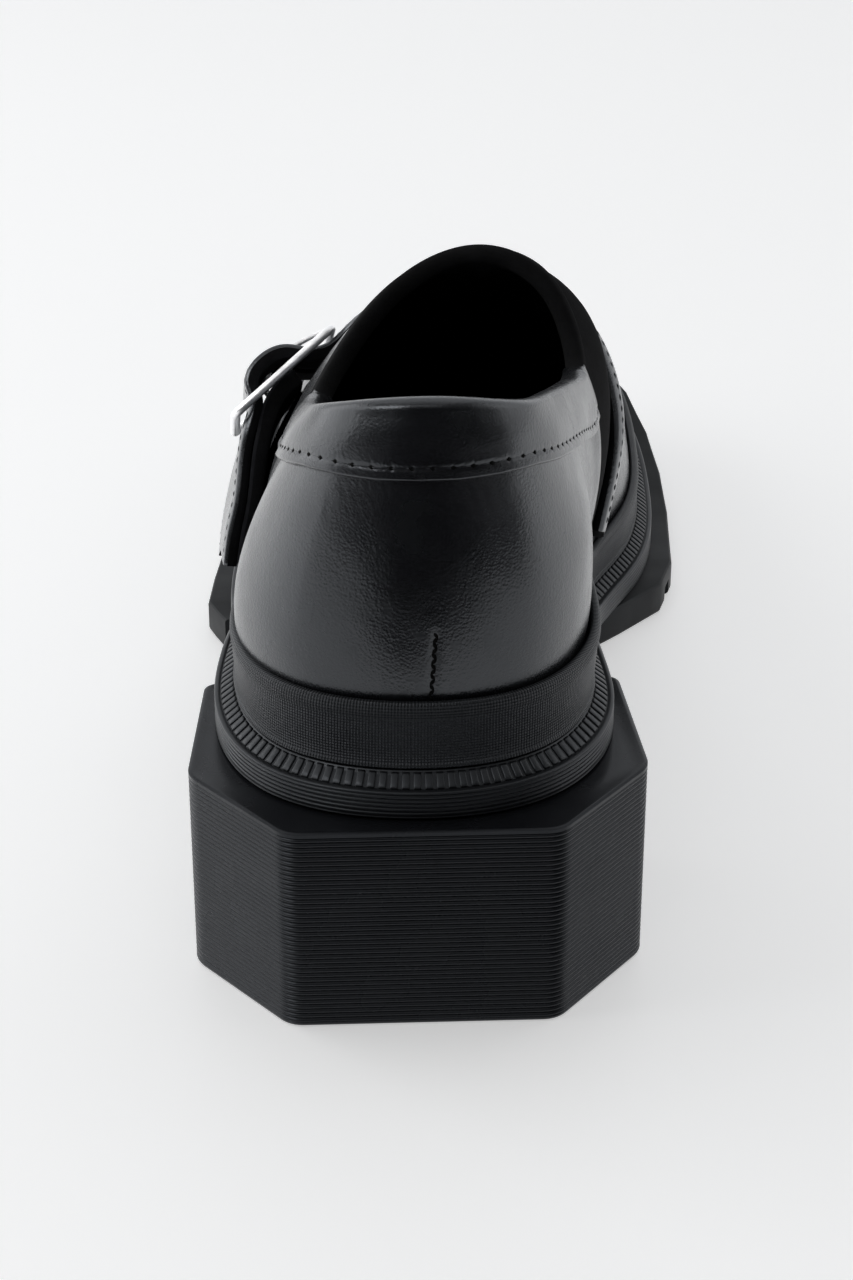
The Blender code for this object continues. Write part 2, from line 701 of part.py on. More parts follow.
def build_buckle(frame):
    half = 0.5 * BUCKLE_BAR
    side = 0.5 * STRAP_WIDTH + BUCKLE_SIDE_ROOM + half
    length = math.dist(BUCKLE_LOW, BUCKLE_TOP)
    lengths = [c + s * half for c in (0.0, BUCKLE_MIDDLE, length) for s in (-1, 1)]
    widths = [c + s * half for c in (-side, side) for s in (-1, 1)]
    keep = [[not (i in (1, 3) and j == 1) for j in range(3)] for i in range(5)]
    grid = [(position, across) for position in lengths for across in widths]
    faces = grid_faces(len(lengths), len(widths), keep=keep)
    outer = [in_frame(frame, position, across, 0.5 * BUCKLE_THICK) for position, across in grid]
    inner = [in_frame(frame, position, across, -0.5 * BUCKLE_THICK) for position, across in grid]
    add_solid("buckle", *thicken(faces, np.array(outer), np.array(inner)), "metal")
    path = [np.array([position, height]) for position, height in PRONG_PATH]
    rings = []
    for i, here in enumerate(path):
        before, after = path[max(i - 1, 0)], path[min(i + 1, len(path) - 1)]
        way = unit(after - before)
        normal = np.array([-way[1], way[0]])
        ring = []
        for k in range(PRONG_SIDES):
            angle = math.tau * k / PRONG_SIDES
            spot = here + PRONG_RADIUS * math.cos(angle) * normal
            ring.append(in_frame(frame, spot[0], PRONG_RADIUS * math.sin(angle), spot[1]))
        rings.append(ring)
    add_solid("prong", *ring_stack(rings, "flat"), "metal")


def make_material(name):
    colour, roughness, metallic = COLOURS[name]
    material = bpy.data.materials.new(name)
    material.use_nodes = True
    shader = material.node_tree.nodes["Principled BSDF"]
    shader.inputs["Base Color"].default_value = colour
    shader.inputs["Roughness"].default_value = roughness
    shader.inputs["Metallic"].default_value = metallic
    return material


def make_objects():
    shift = np.array([PLAN_MIDDLE[0], PLAN_MIDDLE[1], 0.0])
    for name, points, faces, material in solids:
        mesh = bpy.data.meshes.new(name)
        mesh.from_pydata(((points - shift) * MM).tolist(), [], faces)
        mesh.validate()
        mesh.update()
        mesh.shade_smooth()
        mesh.materials.append(make_material(material))
        bpy.context.scene.collection.objects.link(bpy.data.objects.new(name, mesh))


def main():
    for old in list(bpy.data.objects):
        bpy.data.objects.remove(old)
    build_heel()
    build_outsole()
    build_midsole()
    build_insole()
    build_rand()
    build_upper()
    build_collar()
    build_straps()
    make_objects()


main()
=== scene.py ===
"""Dressed left buckle loafer: leather upper, folded collar, rubber sole and buckled strap, on a lit floor."""

import contextlib
import math

import bmesh
import bpy
import numpy as np
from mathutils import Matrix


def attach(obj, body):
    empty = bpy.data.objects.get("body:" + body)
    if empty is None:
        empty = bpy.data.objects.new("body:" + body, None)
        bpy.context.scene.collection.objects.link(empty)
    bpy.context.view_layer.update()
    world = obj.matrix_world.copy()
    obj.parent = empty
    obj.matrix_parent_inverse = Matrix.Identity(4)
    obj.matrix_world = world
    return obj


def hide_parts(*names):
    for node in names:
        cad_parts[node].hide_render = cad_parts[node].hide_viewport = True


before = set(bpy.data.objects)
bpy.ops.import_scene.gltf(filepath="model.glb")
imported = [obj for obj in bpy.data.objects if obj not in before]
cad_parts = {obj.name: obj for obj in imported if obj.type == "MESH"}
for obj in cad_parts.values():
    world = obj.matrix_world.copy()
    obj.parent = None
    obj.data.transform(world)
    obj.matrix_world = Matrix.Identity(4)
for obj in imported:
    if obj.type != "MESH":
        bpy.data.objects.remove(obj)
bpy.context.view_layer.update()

# Sizes are in millimetres in the shoe's own axes, as in the part's source: x medial, y heel to toe, z up
MM = 0.001
PLAN_MIDDLE = (-0.1, 151.76)
SHIFT = np.array([PLAN_MIDDLE[0], PLAN_MIDDLE[1], 0.0])
GAP = 0.3
UP = np.array([0.0, 0.0, 1.0])

# Meshes: corners closer than SAME_PLACE, in metres, are one
SAME_PLACE = 1e-6
LOOP_SAMPLES = 4000
LEVEL_HALVINGS = 30
PLACE_HALVINGS = 40
THREAD_SIDES = 6
THREAD_RINGS = 7
THREAD_END = 0.45
BAR_SIDES = 16

# Heel block
HEEL_HEIGHT = 43.0
HEEL_TURN = math.radians(3.9)
HEEL_MIDDLE_X = -0.5
HEEL_BACK_Y = -1.0
HEEL_BACK_HALF = 25.8
HEEL_WIDE_HALF = 44.6
HEEL_WIDE_Y = 22.0
HEEL_FRONT_HALF = 42.3
HEEL_FRONT_Y = 59.5
HEEL_CORNER = 3.0
HEEL_CORNER_STEPS = 10
HEEL_RIBS = 40
HEEL_RIB_DEPTH = 0.46
HEEL_RIB_ROWS = 6
HEEL_RIM = 1.1
HEEL_TOP = (
    # inset, drop below the top: rim, narrow chamfer and the sunk ledge behind it
    (0.0, 0.95),
    (0.0, 0.27),
    (0.42, 0.0),
    (0.84, 0.0),
    (1.68, 0.12),
    (3.78, 0.12),
)
HEEL_FOOT = 0.8
HEEL_FOOT_INSET = 2.0
HEEL_FOOT_STEPS = 5
HEEL_SHARP = 55.0

# Height line of the welt's underside along the shoe
HEEL_SEAT = 43.3
BALL_SEAT = 8.5
ARCH_START = 60.0
ARCH_END = 160.0
SPRING_START = 200.0
SPRING_END = 306.0
SPRING_RISE = 18.0

# Outsole
WAIST_THICK = 5.0
OUTSOLE_ROUND = 1.0
OUTSOLE_ROUND_STEPS = 4
OUTSOLE_SHARP = 28.0
PLATFORM_BACK = 154.6
STATION_STEP = 3.5
STATION_END_ROOM = 1.0
LUG_GROOVES = (184.0, 202.0, 220.0, 238.0, 256.0)
LUG_GROOVE_WIDTH = 5.0
LUG_GROOVE_DEPTH = 3.4
WALL_STEP = 0.4
OUTSOLE_OUTLINE = (
    # distance along the shoe, lateral edge, medial edge
    (63.0, -33.0, 25.0),
    (90.0, -33.5, 24.0),
    (120.0, -37.0, 22.5),
    (154.5, -47.0, 28.0),
    (154.6, -53.3, 34.0),
    (161.0, -56.5, 40.1),
    (165.5, -58.5, 44.0),
    (178.5, -58.4, 54.4),
    (192.0, -57.8, 57.8),
    (222.0, -56.2, 58.3),
    (243.0, -53.9, 57.4),
    (263.0, -51.0, 54.7),
    (282.0, -46.0, 49.8),
    (292.0, -40.5, 44.5),
    (306.0, -20.0, 24.0),
)

# Welt and rand
WELT_STEPS = 900
WELT_REACH = 7.3
WELT_GROOVES = 5
WELT_GROOVE_DEPTH = 0.38
WELT_GROOVE_PITCH = 0.90
WELT_GROOVE_START = 0.62
WELT_GROOVE = (
    # beyond the welt's reach, part of the pitch
    (0.0, 0.0),
    (0.04, 0.3),
    (0.0, 0.6),
    (-WELT_GROOVE_DEPTH, 0.8),
)
WELT_FOOT = (
    # beyond the welt's reach, rise: bead under the grooves
    (-1.2, 0.0),
    (-0.4, 0.0),
    (-0.05, 0.07),
    (0.10, 0.2),
    (0.10, 0.34),
    (-0.22, 0.52),
)
WELT_RIM = (
    # beyond the welt's reach, above the rim's height
    (0.0, -0.45),
    (0.03, -0.25),
    (-0.12, -0.08),
    (-0.4, 0.0),
)
WELT_RIM_RISE = 5.6
WELT_TOP_RISE = 8.0
WELT_BAND_OUTER = 6.1
WELT_BAND_INNER = 3.3
BAND_SINK = 0.12
BAND_DROP = 0.25
BAND_FROM = 0.1
BAND_ROWS = 6
WELT_RIM_INSIDE = ((0.15, 0.02), (0.0, -BAND_SINK))
WELT_TOP_INSETS = (0.05, 0.6)
TOOTH_PITCH = 2.2
TOOTH_SHARE = 0.72
TOOTH_HEIGHT = 0.42
TOOTH_UP = (
    # part of the way up the slope, height above it as a share of the tooth
    (0.0, -0.4),
    (0.06, 0.7),
    (0.25, 1.0),
    (0.8, 1.0),
    (0.96, 0.75),
    (1.0, -0.4),
)
TOOTH_ACROSS = ((-0.5, -0.4), (-0.44, 0.75), (-0.3, 1.0), (0.3, 1.0), (0.44, 0.75), (0.5, -0.4))
RAND_STEPS = 640
RAND_HEEL_HEIGHT = 14.0
RAND_BALL_HEIGHT = 11.0
RAND_FOOT_THICK = 2.7
RAND_TOP_THICK = 1.7
RAND_LINE_PITCH = 0.6
LIP_LINES = 5
LIP_LINE_DEPTH = 0.15
LIP_LINE = ((0.0, 0.0), (0.35, 0.0), (0.6, 0.0), (0.8, LIP_LINE_DEPTH))
LIP_START, LIP_END = 0.76, 0.975
LIP_REACH = 0.94
LIP_BULGE = 0.14
RAND_FACE = (
    # part of the height, part of the way from the inner face to the outer one
    (0.0, 1.0),
    (0.015, 1.12),
    (0.045, 1.14),
    (0.07, 1.02),
    (0.10, 0.95),
    (0.25, 0.90),
    (0.40, 0.87),
    (0.55, 0.86),
    (0.68, 0.87),
    (0.74, 0.86),
)
RAND_BACK = ((0.985, 0.90), (0.996, 0.74), (1.0, 0.50), (1.0, 0.2), (0.985, 0.0), (0.5, 0.0), (0.0, 0.0))

# Upper, insole and collar
BACK_STEPS = 40
BACK_SECTIONS = 2.5
FRONT_STEPS = 10
UPPER_ROWS = 96
WALL = 2.2
INSOLE_THICK = 3.0
INSOLE_INSET = 3.0
INSOLE_STEPS = 300
INSOLE_EDGE = ((0.0, INSOLE_THICK), (0.0, 0.9), (0.25, 0.3), (0.9, 0.0))
FOLD_FADE = 0.06
CREASE_FADE = 0.6
SUEDE_MEDIAL_START = 4.15
SUEDE_LATERAL_START = 5.3
SUEDE_END = 7.0
SUEDE_TONGUE_LEVEL = 0.72
COLLAR_STEPS = 90
COLLAR_HEIGHTS = (
    # sections from the back, depth of the band below the rim
    (0.0, 13.0),
    (0.4, 12.8),
    (0.9, 11.8),
    (1.3, 10.8),
    (1.9, 11.0),
    (2.9, 11.6),
    (4.0, 12.2),
)
COLLAR_THICK = 1.3
COLLAR_ROLL = 1.7
COLLAR_ROLL_SHARE = 0.4
COLLAR_ROLL_WAVE = 0.10
COLLAR_ROLL_LENGTH = 5.2
COLLAR_ROLL_STEPS = 14
COLLAR_INSIDE = 9.0
COLLAR_INSIDE_ROWS = (0.35, 0.7, 1.0)
COLLAR_END = 4.0
COLLAR_END_SHARE = 0.5
COLLAR_ROWS = (
    # share of the band's height from, to, count of rows
    (0.0, 0.06, 6),
    (0.08, 0.40, 26),
    (0.44, 0.97, 13),
)
COLLAR_FOLD_RISE = 0.6
COLLAR_FOLD_SHARE = 0.35
COLLAR_PUFF = 0.25
COLLAR_PUFF_RISE = 9.0
COLLAR_WAVE = 0.05
COLLAR_WAVE_LENGTH = 4.1
COLLAR_WAVE_SLANT = 0.5
COLLAR_WAVE_RISE = 4.0
COLLAR_GROOVE = 0.14
COLLAR_GROOVE_HALF = 0.5
COLLAR_THREAD = {"radius": 0.13, "rise": 0.06, "sink": 0.08}
COLLAR_STITCH_RISE = 2.5
COLLAR_STITCH_PITCH = 3.45
COLLAR_TUCK = 5.0
PUCKER_DEPTH = 0.07
PUCKER_WIDTH = 0.32
PUCKER_HALF = 0.9
HOLE_LONG = 0.66
HOLE_HIGH = 0.48
HOLE_LIFT = 0.10
HOLE_CROWN = 0.06
HOLE_ROOT = 0.30
HOLE_STEP = 0.2
SEAM_TOP = 80.0
SEAM_FOOT = 62.0
SEAM_TOP_RUN = 4.4
SEAM_FOOT_RUN = 3.2
SEAM_DEPTH = 0.22
SEAM_WIDTH = 0.75
SEAM_FADE_BELOW = 2.0
SEAM_FADE_ABOVE = 1.0
ZIGZAG_PITCH = 2.2
ZIGZAG_HALF = 0.40
ZIGZAG_THREAD = {"radius": 0.40, "rise": 0.05, "sink": 0.30}
ZIGZAG_SECTIONS = 0.6
ZIGZAG_SAMPLES = 241
BINDING_START = 3.5
BINDING_STEPS = 70
BINDING_EVEN_HALF = 8
BINDING_EVEN_ROUNDS = 12
BINDING_OUT_LATERAL = 5.0
BINDING_OUT_MEDIAL = 2.0
BINDING_IN = 7.0
BINDING_THICK = 0.9
BINDING_ROLL = 1.2
BINDING_ROLL_STEPS = 12
BINDING_SINK = 0.2
BINDING_SHALLOWS = (-0.1, 0.5)
BINDING_FACE = (
    # part of the band's thickness, part of its depth below the rim
    (0.1, 1.0),
    (0.55, 0.85),
    (0.9, 0.6),
    (1.0, 0.4),
)
BINDING_HEM_RISE = 0.5
BINDING_HEM_REACH = 0.6
BINDING_CORE_SHARE = 0.6
BINDING_CORE_DROP = 1.0
SECTIONS = (
    # lateral x, y, medial x, y, flare lateral, medial, lean lateral, medial, low pull, high pull
    (-3.0, 10.3, -3.0, 10.3, 10.0, 10.0, 14.0, 14.0, 0.35, 0.35),
    (-25.3, 17.2, 19.0, 18.0, 10.0, 10.0, 22.0, 18.0, 0.35, 0.35),
    (-35.3, 38.0, 28.4, 38.0, 13.0, 13.0, 34.0, 22.0, 0.35, 0.35),
    (-36.0, 66.0, 26.6, 66.0, 12.0, 18.0, 27.0, 17.0, 0.36, 0.33),
    (-35.8, 86.0, 26.5, 87.0, 13.0, 19.0, 36.0, 24.0, 0.39, 0.32),
    (-36.3, 97.0, 27.0, 99.0, 15.0, 20.0, 30.0, 50.0, 0.41, 0.33),
    (-37.6, 108.0, 27.4, 111.0, 15.0, 20.0, 38.0, 60.0, 0.42, 0.32),
    (-40.6, 128.0, 28.2, 131.0, 14.0, 20.0, 90.0, 90.0, 0.43, 0.36),
    (-44.0, 152.0, 31.2, 154.0, 14.0, 20.0, 90.0, 90.0, 0.42, 0.38),
    (-45.2, 180.0, 41.5, 181.0, 18.0, 18.0, 90.0, 90.0, 0.42, 0.36),
    (-42.5, 222.0, 46.0, 222.0, 20.0, 18.0, 90.0, 90.0, 0.40, 0.42),
    (-36.5, 262.0, 41.0, 262.0, 22.0, 22.0, 90.0, 90.0, 0.40, 0.45),
    (-22.0, 285.0, 28.5, 284.5, 24.0, 24.0, 90.0, 90.0, 0.42, 0.45),
    (3.5, 292.0, 3.5, 292.0, 25.0, 25.0, 90.0, 90.0, 0.45, 0.50),
)
OPENING = (
    # lateral x, y, z, medial x, y, z
    (-2.0, 13.0, 121.3, -2.0, 13.0, 121.3),
    (-14.5, 18.0, 118.6, 11.6, 18.0, 119.2),
    (-22.4, 38.0, 110.2, 21.0, 38.0, 112.6),
    (-24.6, 62.0, 101.2, 26.4, 62.0, 106.0),
    (-24.0, 77.0, 98.6, 28.8, 79.0, 104.0),
    (-10.9, 91.5, 114.4, 22.6, 90.0, 117.6),
    (10.4, 96.0, 122.8, 10.4, 96.0, 122.8),
)
RIDGE = (
    # x, y, z of the vamp's middle line from the tongue's tip to the toe
    (10.4, 96.0, 122.8),
    (9.0, 117.0, 104.0),
    (6.5, 147.0, 85.0),
    (4.5, 183.0, 67.5),
    (3.0, 222.0, 57.0),
    (3.5, 250.0, 53.3),
    (3.5, 263.0, 51.5),
    (3.5, 268.0, 50.3),
)
TIP = len(OPENING) - 1
TOE = len(SECTIONS) - 1
LEAN_MOST = 90.0
NEAR_TOP = 0.97
TOE_SOFT_REACH = 16.0
TOE_SOFT_ROUNDS = 30
CROSS_FROM, CROSS_FULL = 4.0, 6.0
TONGUE_FROM, TONGUE_FULL = 3.8, 5.2
ROUND_FROM, ROUND_FULL = 10.5, 13.0
CREASES = (
    # start round the back from the middle, start height, end, end height, depth, half width
    (-19.5, 106.0, -16.6, 101.4, 0.055, 0.75),
    (-17.4, 106.2, -13.6, 101.2, 0.060, 0.70),
    (-15.4, 106.4, -11.0, 101.4, 0.070, 0.70),
    (-13.2, 106.6, -8.4, 101.8, 0.075, 0.70),
    (-11.0, 106.7, -6.2, 102.4, 0.070, 0.70),
    (-8.8, 106.8, -4.6, 103.2, 0.060, 0.70),
    (-23.5, 104.6, -21.6, 100.0, 0.045, 0.80),
    (13.0, 106.4, 15.0, 101.2, 0.045, 0.80),
    (16.5, 106.0, 18.2, 100.8, 0.050, 0.80),
    (20.0, 105.6, 21.4, 100.6, 0.045, 0.80),
    (2.2, 84.6, 6.4, 84.9, 0.040, 0.60),
    (1.8, 86.8, 7.0, 87.0, 0.035, 0.60),
    (2.6, 89.2, 6.0, 89.2, 0.030, 0.60),
)
SWELLS = (
    # wave length over tau, depth, slant, phase
    (7.3, 0.05, 0.1, 0.6),
    (3.7, 0.018, 0.5, 0.2),
    (2.1, 0.010, 0.3, 1.1),
)
SIDE_SWELLS = (
    # distance round the back, height, half run, half height, depth
    (-47.0, 72.0, 20.0, 17.0, 1.4),
    (46.0, 86.0, 18.0, 9.0, 0.7),
    (46.0, 60.0, 18.0, 8.0, -0.6),
)

# Straps and buckle
STRAP_REFERENCE_Z = 98.0
STRAP_REAR_Y = 107.0
STRAP_SLOPE_LATERAL = 0.25
STRAP_SLOPE_MEDIAL = 0.10
STRAP_WIDTH = 28.0
STRAP_THICK = 2.8
STRAP_EDGE_ROUND = 0.35
STRAP_EDGE_THICK = 0.45
STRAP_EDGE_SHARES = (0.0, 0.006, 0.016, 0.032, 0.05, 0.075, 0.10)
STRAP_INNER_START = 0.13
STRAP_COLUMNS = 25
STRAP_SAMPLES = 21
STRAP_ROW_STEP = 0.75
STRAP_FINE_STEPS = 40
STRAP_ROLL_WIDTH = 3.4
STRAP_ROLL_MEDIAL = (0.9, 1.1, 1.5, 1.6, 1.5, 1.2, 0.5)
STRAP_ROLL_TAIL = (0.8, 0.5, 0.3)
STRAP_ROLL_LOOP_END = (0.5, 0.9)
STRAP_ROLL_PLAIN = 0.2
STRAP_INNER_PAD = 0.4
CHAPE_ROLL = (0.0, 0.0, 0.0, 0.0, -0.4, -0.7, -0.8, -0.8)
STRAP_SEARCH = (3.0, 9.5)
STRAP_MEDIAL = (
    # level of the wall, lift of the band's middle above it
    (0.19, 2.2),
    (0.30, 2.8),
    (0.42, 4.0),
    (0.54, 3.8),
    (0.66, 3.0),
    (0.78, 2.5),
    (0.90, 2.3),
)
STRAP_LATERAL = ((1.0, 2.2), (0.90, 2.2), (0.80, 2.2))
TAIL = ((0.25, 5.6), (0.19, 6.3), (0.12, 7.4))
CHAPE = ((0.12, 4.3), (0.19, 3.0), (0.25, 2.3))
STRAP_STITCH_INSET = 2.2
STRAP_STITCH_PITCH = 2.5
STRAP_STITCH_LENGTH = 1.7
STRAP_STITCH_SKIP = 2
STRAP_THREAD = {"radius": 0.22, "rise": 0.12, "sink": 0.12}
STRAP_GROOVE = 0.05
STRAP_GROOVE_HALF = 0.8
STRAP_PUCKER = 0.12
BUCKLE_LOW = (-43.2, 101.1, 84.2)
BUCKLE_TOP = (-23.3, 112.3, 99.5)
BUCKLE_ACROSS = (-0.100, 0.860, -0.500)
BUCKLE_BAR = 2.2
BUCKLE_THICK = 1.9
BUCKLE_MIDDLE = 12.0
BUCKLE_SIDE_ROOM = 0.6
BUCKLE_HALF = 0.5 * (STRAP_WIDTH + BUCKLE_BAR) + BUCKLE_SIDE_ROOM
BUCKLE_CORNER = 2.4
BUCKLE_CORNER_STEPS = 7
BUCKLE_BAR_STEPS = 9
BUCKLE_BAR_SHARE = 0.9
STRAP_LOOP = (
    # along the frame, above its plane
    (30.5, -2.7),
    (25.0, -2.7),
    (20.6, -0.4),
    (17.4, 3.3),
    (12.4, 5.0),
    (7.2, 3.3),
    (5.1, -0.4),
    (1.1, -3.2),
)
CHAPE_LOOP = ((2.0, -6.55), (4.4, -5.1), (7.0, -3.75), (10.6, -2.65), (15.5, -2.65))
PRONG_RADIUS = 0.7
PRONG_PATH = ((9.8, -0.6), (9.8, 1.0), (10.5, 1.95), (28.9, 1.95))
PRONG_STEPS = 40
PRONG_TAPER = (
    # step along the pin, share of its radius
    (0, 0.8),
    (2, 1.0),
    (34, 1.0),
    (39, 0.55),
)
PRONG_HOLE_LOW, PRONG_HOLE_HIGH = 13.6, 22.4
PRONG_HOLE_HALF = 0.07

# Looks: WAVE_RATE is the count of bands that a wave texture of scale one fits into tau
NOISE_LIMITS = (0.3, 0.7)
COOL_TINT = (0.88, 0.93, 1.0, 1.0)
WHITE = (1.0, 1.0, 1.0, 1.0)
GRAIN_STRETCH = (1.0, 1.0, 0.45)
BRUSH_STRETCH = (0.15, 1.0, 1.0)
WAVE_RATE = 20.0
COAT_ROUGHNESS = 0.22
CLOTH_ROUGHNESS = 0.9
CLOTH_GLOSS = 0.04
METAL_COLOUR = (0.92, 0.92, 0.92)
METAL_ROUGHNESS = 0.34
FLOOR_COLOUR = (0.84, 0.845, 0.85)
FLOOR_ROUGHNESS = 0.55
FLOOR_GLOSS = 0.3
FLOOR_GLOW = 0.45
CARD_COLOUR = (0.01, 0.01, 0.01)
WORLD_COLOUR = (0.95, 0.97, 1.0, 1.0)

# Camera: from behind and above, in the shoe's axes before the plan is centred
CAMERA_BACK = 412.24
CAMERA_HEIGHT = 292.28
CAMERA_PITCH = math.radians(27.0)
CAMERA_TURN = math.radians(1.5)
CAMERA_LENS = 73.125
CAMERA_SENSOR = 36.0

# Stage, in metres: a card that only shows in reflections keeps the room behind the camera dark
CARD_OUTLINE = (
    (-1.2, -4.0),
    (1.2, -4.0),
    (1.2, -0.08),
    (0.5, -0.16),
    (0.25, -0.35),
    (-0.02, -0.25),
    (-0.24, -0.48),
    (-1.2, -0.62),
)
CARD_LIFT = 0.001
FLOOR_HALF = 6.0
WORLD_STRENGTH = (0.02, 0.85)
WORLD_FROM = (0.05, 0.90)
LIGHTS = (
    # name, place, aim, width, height, power, whether it lights the floor or only shines in the leather
    ("left_box", (-1.05, 0.10, 0.50), (0.0, -0.05, 0.10), 1.3, 0.95, 5.5, True),
    ("left_shine", (-1.05, 0.10, 0.50), (0.0, -0.05, 0.10), 1.3, 0.95, 43.0, False),
    ("left_fill", (-1.0, -1.0, 1.2), (0.0, -0.1, 0.1), 0.9, 0.8, 8.0, False),
    ("right_box", (1.4, 0.25, 0.68), (0.0, -0.05, 0.08), 1.1, 1.2, 1.5, True),
    ("right_shine", (1.4, 0.25, 0.68), (0.0, -0.05, 0.08), 1.1, 1.2, 25.0, False),
    ("top_box", (0.0, 0.35, 2.3), (0.0, 0.0, 0.0), 2.6, 2.0, 8.0, True),
    ("top_shine", (0.0, 0.35, 2.3), (0.0, 0.0, 0.0), 2.6, 2.0, 40.0, False),
    ("back_box", (0.0, -1.2, 1.7), (0.0, 0.0, 0.05), 1.6, 0.8, 2.0, True),
    ("back_shine", (0.0, -1.2, 1.7), (0.0, 0.0, 0.05), 1.6, 0.8, 13.0, False),
)


# Shape of the last
def smooth_step(value, start, end):
    part = np.clip((value - start) / (end - start), 0.0, 1.0)
    return part * part * (3.0 - 2.0 * part)


def unit(vectors):
    return vectors / np.linalg.norm(vectors, axis=-1, keepdims=True)


def curve_through(rows, closed, measured=3):
    """Smooth cubic through the rows, spaced by the chords of the measured columns; it counts in rows."""
    points = np.asarray(rows, float)
    if closed:
        points = np.vstack([points, points[:1]])
    gaps = np.linalg.norm(np.diff(points[:, :measured], axis=0), axis=1)
    slopes = np.diff(points, axis=0) / gaps[:, None]
    count = len(gaps)
    system = np.zeros((count + 1, count + 1))
    right = np.zeros_like(points)
    for i in range(count + 1):
        if 0 < i < count or closed:
            before, after = (i - 1) % count, i % count
            system[i, before] += gaps[before]
            system[i, i % count] += 2.0 * (gaps[before] + gaps[after])
            system[i, (i + 1) % count if closed else i + 1] += gaps[after]
            right[i] = 6.0 * (slopes[after] - slopes[before])
        else:
            system[i, i] = 1.0
    if closed:
        system[count] = 0.0
        system[count, 0], system[count, count] = 1.0, -1.0
        right[count] = 0.0
    bends = np.linalg.solve(system, right)

    def at(position):
        position = np.asarray(position, float)
        if closed:
            position = position % count
        row = np.clip(np.floor(position).astype(int), 0, count - 1)
        part = (position - row)[..., None]
        rest = 1.0 - part
        pull = gaps[row][..., None] ** 2 / 6.0
        bend = (rest**3 - rest) * bends[row] + (part**3 - part) * bends[row + 1]
        return rest * points[row] + part * points[row + 1] + pull * bend

    return at


def both_sides(rows, lateral, medial):
    """Rows of a closed loop: out along the lateral side and back along the medial one."""
    out = [[row[i] for i in lateral] for row in rows]
    back = [[row[i] for i in medial] for row in rows[-2:0:-1]]
    return out + back


section_curve = curve_through(both_sides(SECTIONS, (0, 1, 4, 6, 8, 9), (2, 3, 5, 7, 8, 9)), True, measured=2)
opening_curve = curve_through(both_sides(OPENING, (0, 1, 2), (3, 4, 5)), True)
ridge_curve = curve_through(RIDGE, False)
TONGUE_RISE = unit(ridge_curve(0.0) - ridge_curve(0.5))


def seat(y):
    """Height of the welt's underside."""
    arch = HEEL_SEAT + (BALL_SEAT - HEEL_SEAT) * smooth_step(y, ARCH_START, ARCH_END)
    spring = np.clip((y - SPRING_START) / (SPRING_END - SPRING_START), 0.0, None)
    return arch + SPRING_RISE * spring**2


def section_of(loop):
    """Section count and side sign, -1 lateral and +1 medial, for a place on the loop round the shoe."""
    loop = np.asarray(loop, float) % (2 * TOE)
    lateral = loop <= TOE
    return np.where(lateral, loop, 2 * TOE - loop), np.where(lateral, -1.0, 1.0)


def edge(loop):
    """Point of the upper's lower edge and the outward level direction there."""
    step = 0.02
    loop = np.asarray(loop, float)
    plan = section_curve(loop)[..., :2]
    along = unit((section_curve(loop + step) - section_curve(loop - step))[..., :2])
    outward = np.stack([-along[..., 1], along[..., 0], np.zeros(along.shape[:-1])], -1)
    height = seat(plan[..., 1]) + WELT_TOP_RISE + GAP
    return np.concatenate([plan, height[..., None]], -1), outward


def top_edge(loop):
    """Point where the wall ends: the opening behind the tongue's tip, the ridge in front of it."""
    section, side = section_of(loop)
    opening_rows = np.where(side < 0, section, 2 * TIP - section)
    on_opening = opening_curve(np.where(section <= TIP, opening_rows, 0.0))
    on_ridge = ridge_curve(np.clip(section - TIP, 0.0, None))
    return np.where((section <= TIP)[..., None], on_opening, on_ridge)


def wall(loop, level):
    """Outer surface of the upper: level 0 at the lower edge, 1 at the opening or the ridge."""
    loop, level = np.broadcast_arrays(np.asarray(loop, float), np.asarray(level, float))
    section, side = section_of(loop)
    foot, outward = edge(loop)
    top = top_edge(loop)
    flare, lean, low_pull, high_pull = np.split(section_curve(loop)[..., 2:], 4, -1)
    flare = np.radians(flare)
    lean = np.radians(np.minimum(lean, LEAN_MOST))
    rounded = smooth_step(section, ROUND_FROM, ROUND_FULL)
    crossing = smooth_step(section, CROSS_FROM, CROSS_FULL) * (1.0 - rounded)
    across = np.stack([-side, np.zeros_like(side), np.zeros_like(side)], -1)
    inward = unit(crossing[..., None] * across - (1.0 - crossing[..., None]) * outward)
    on_tongue = smooth_step(section, TONGUE_FROM, TONGUE_FULL)[..., None]
    rise = unit(on_tongue * TONGUE_RISE + (1.0 - on_tongue) * UP)
    span = np.linalg.norm(top - foot, axis=-1, keepdims=True)
    low = foot + low_pull * span * (np.sin(flare) * outward + np.cos(flare) * UP)
    high = top - high_pull * span * (np.sin(lean) * inward + np.cos(lean) * rise)
    part = level[..., None]
    rest = 1.0 - part
    return rest**3 * foot + 3.0 * rest**2 * part * low + 3.0 * rest * part**2 * high + part**3 * top


def wall_normal(loop, level):
    """Outward direction of the wall, taken just below the ridge for the ridge itself."""
    loop, level = np.broadcast_arrays(np.asarray(loop, float), np.asarray(level, float))
    step = 0.01
    level = np.minimum(level, 1.0 - 2.0 * step)
    low, high = np.clip(level - step, 0.0, 1.0), np.clip(level + step, 0.0, 1.0)
    rise = wall(loop, high) - wall(loop, low)
    run = wall(loop + step, level) - wall(loop - step, level)
    return unit(np.cross(rise, run))


def level_where(loop, too_low):
    """Level of the wall found by halving; too_low says whether a point still lies below the wanted one."""
    low, high = np.zeros_like(loop), np.ones_like(loop)
    for _ in range(LEVEL_HALVINGS):
        middle = 0.5 * (low + high)
        below = too_low(wall(loop, middle))
        low, high = np.where(below, middle, low), np.where(below, high, middle)
    return 0.5 * (low + high)


def level_at_height(loop, height):
    return level_where(loop, lambda points: points[..., 2] < height)


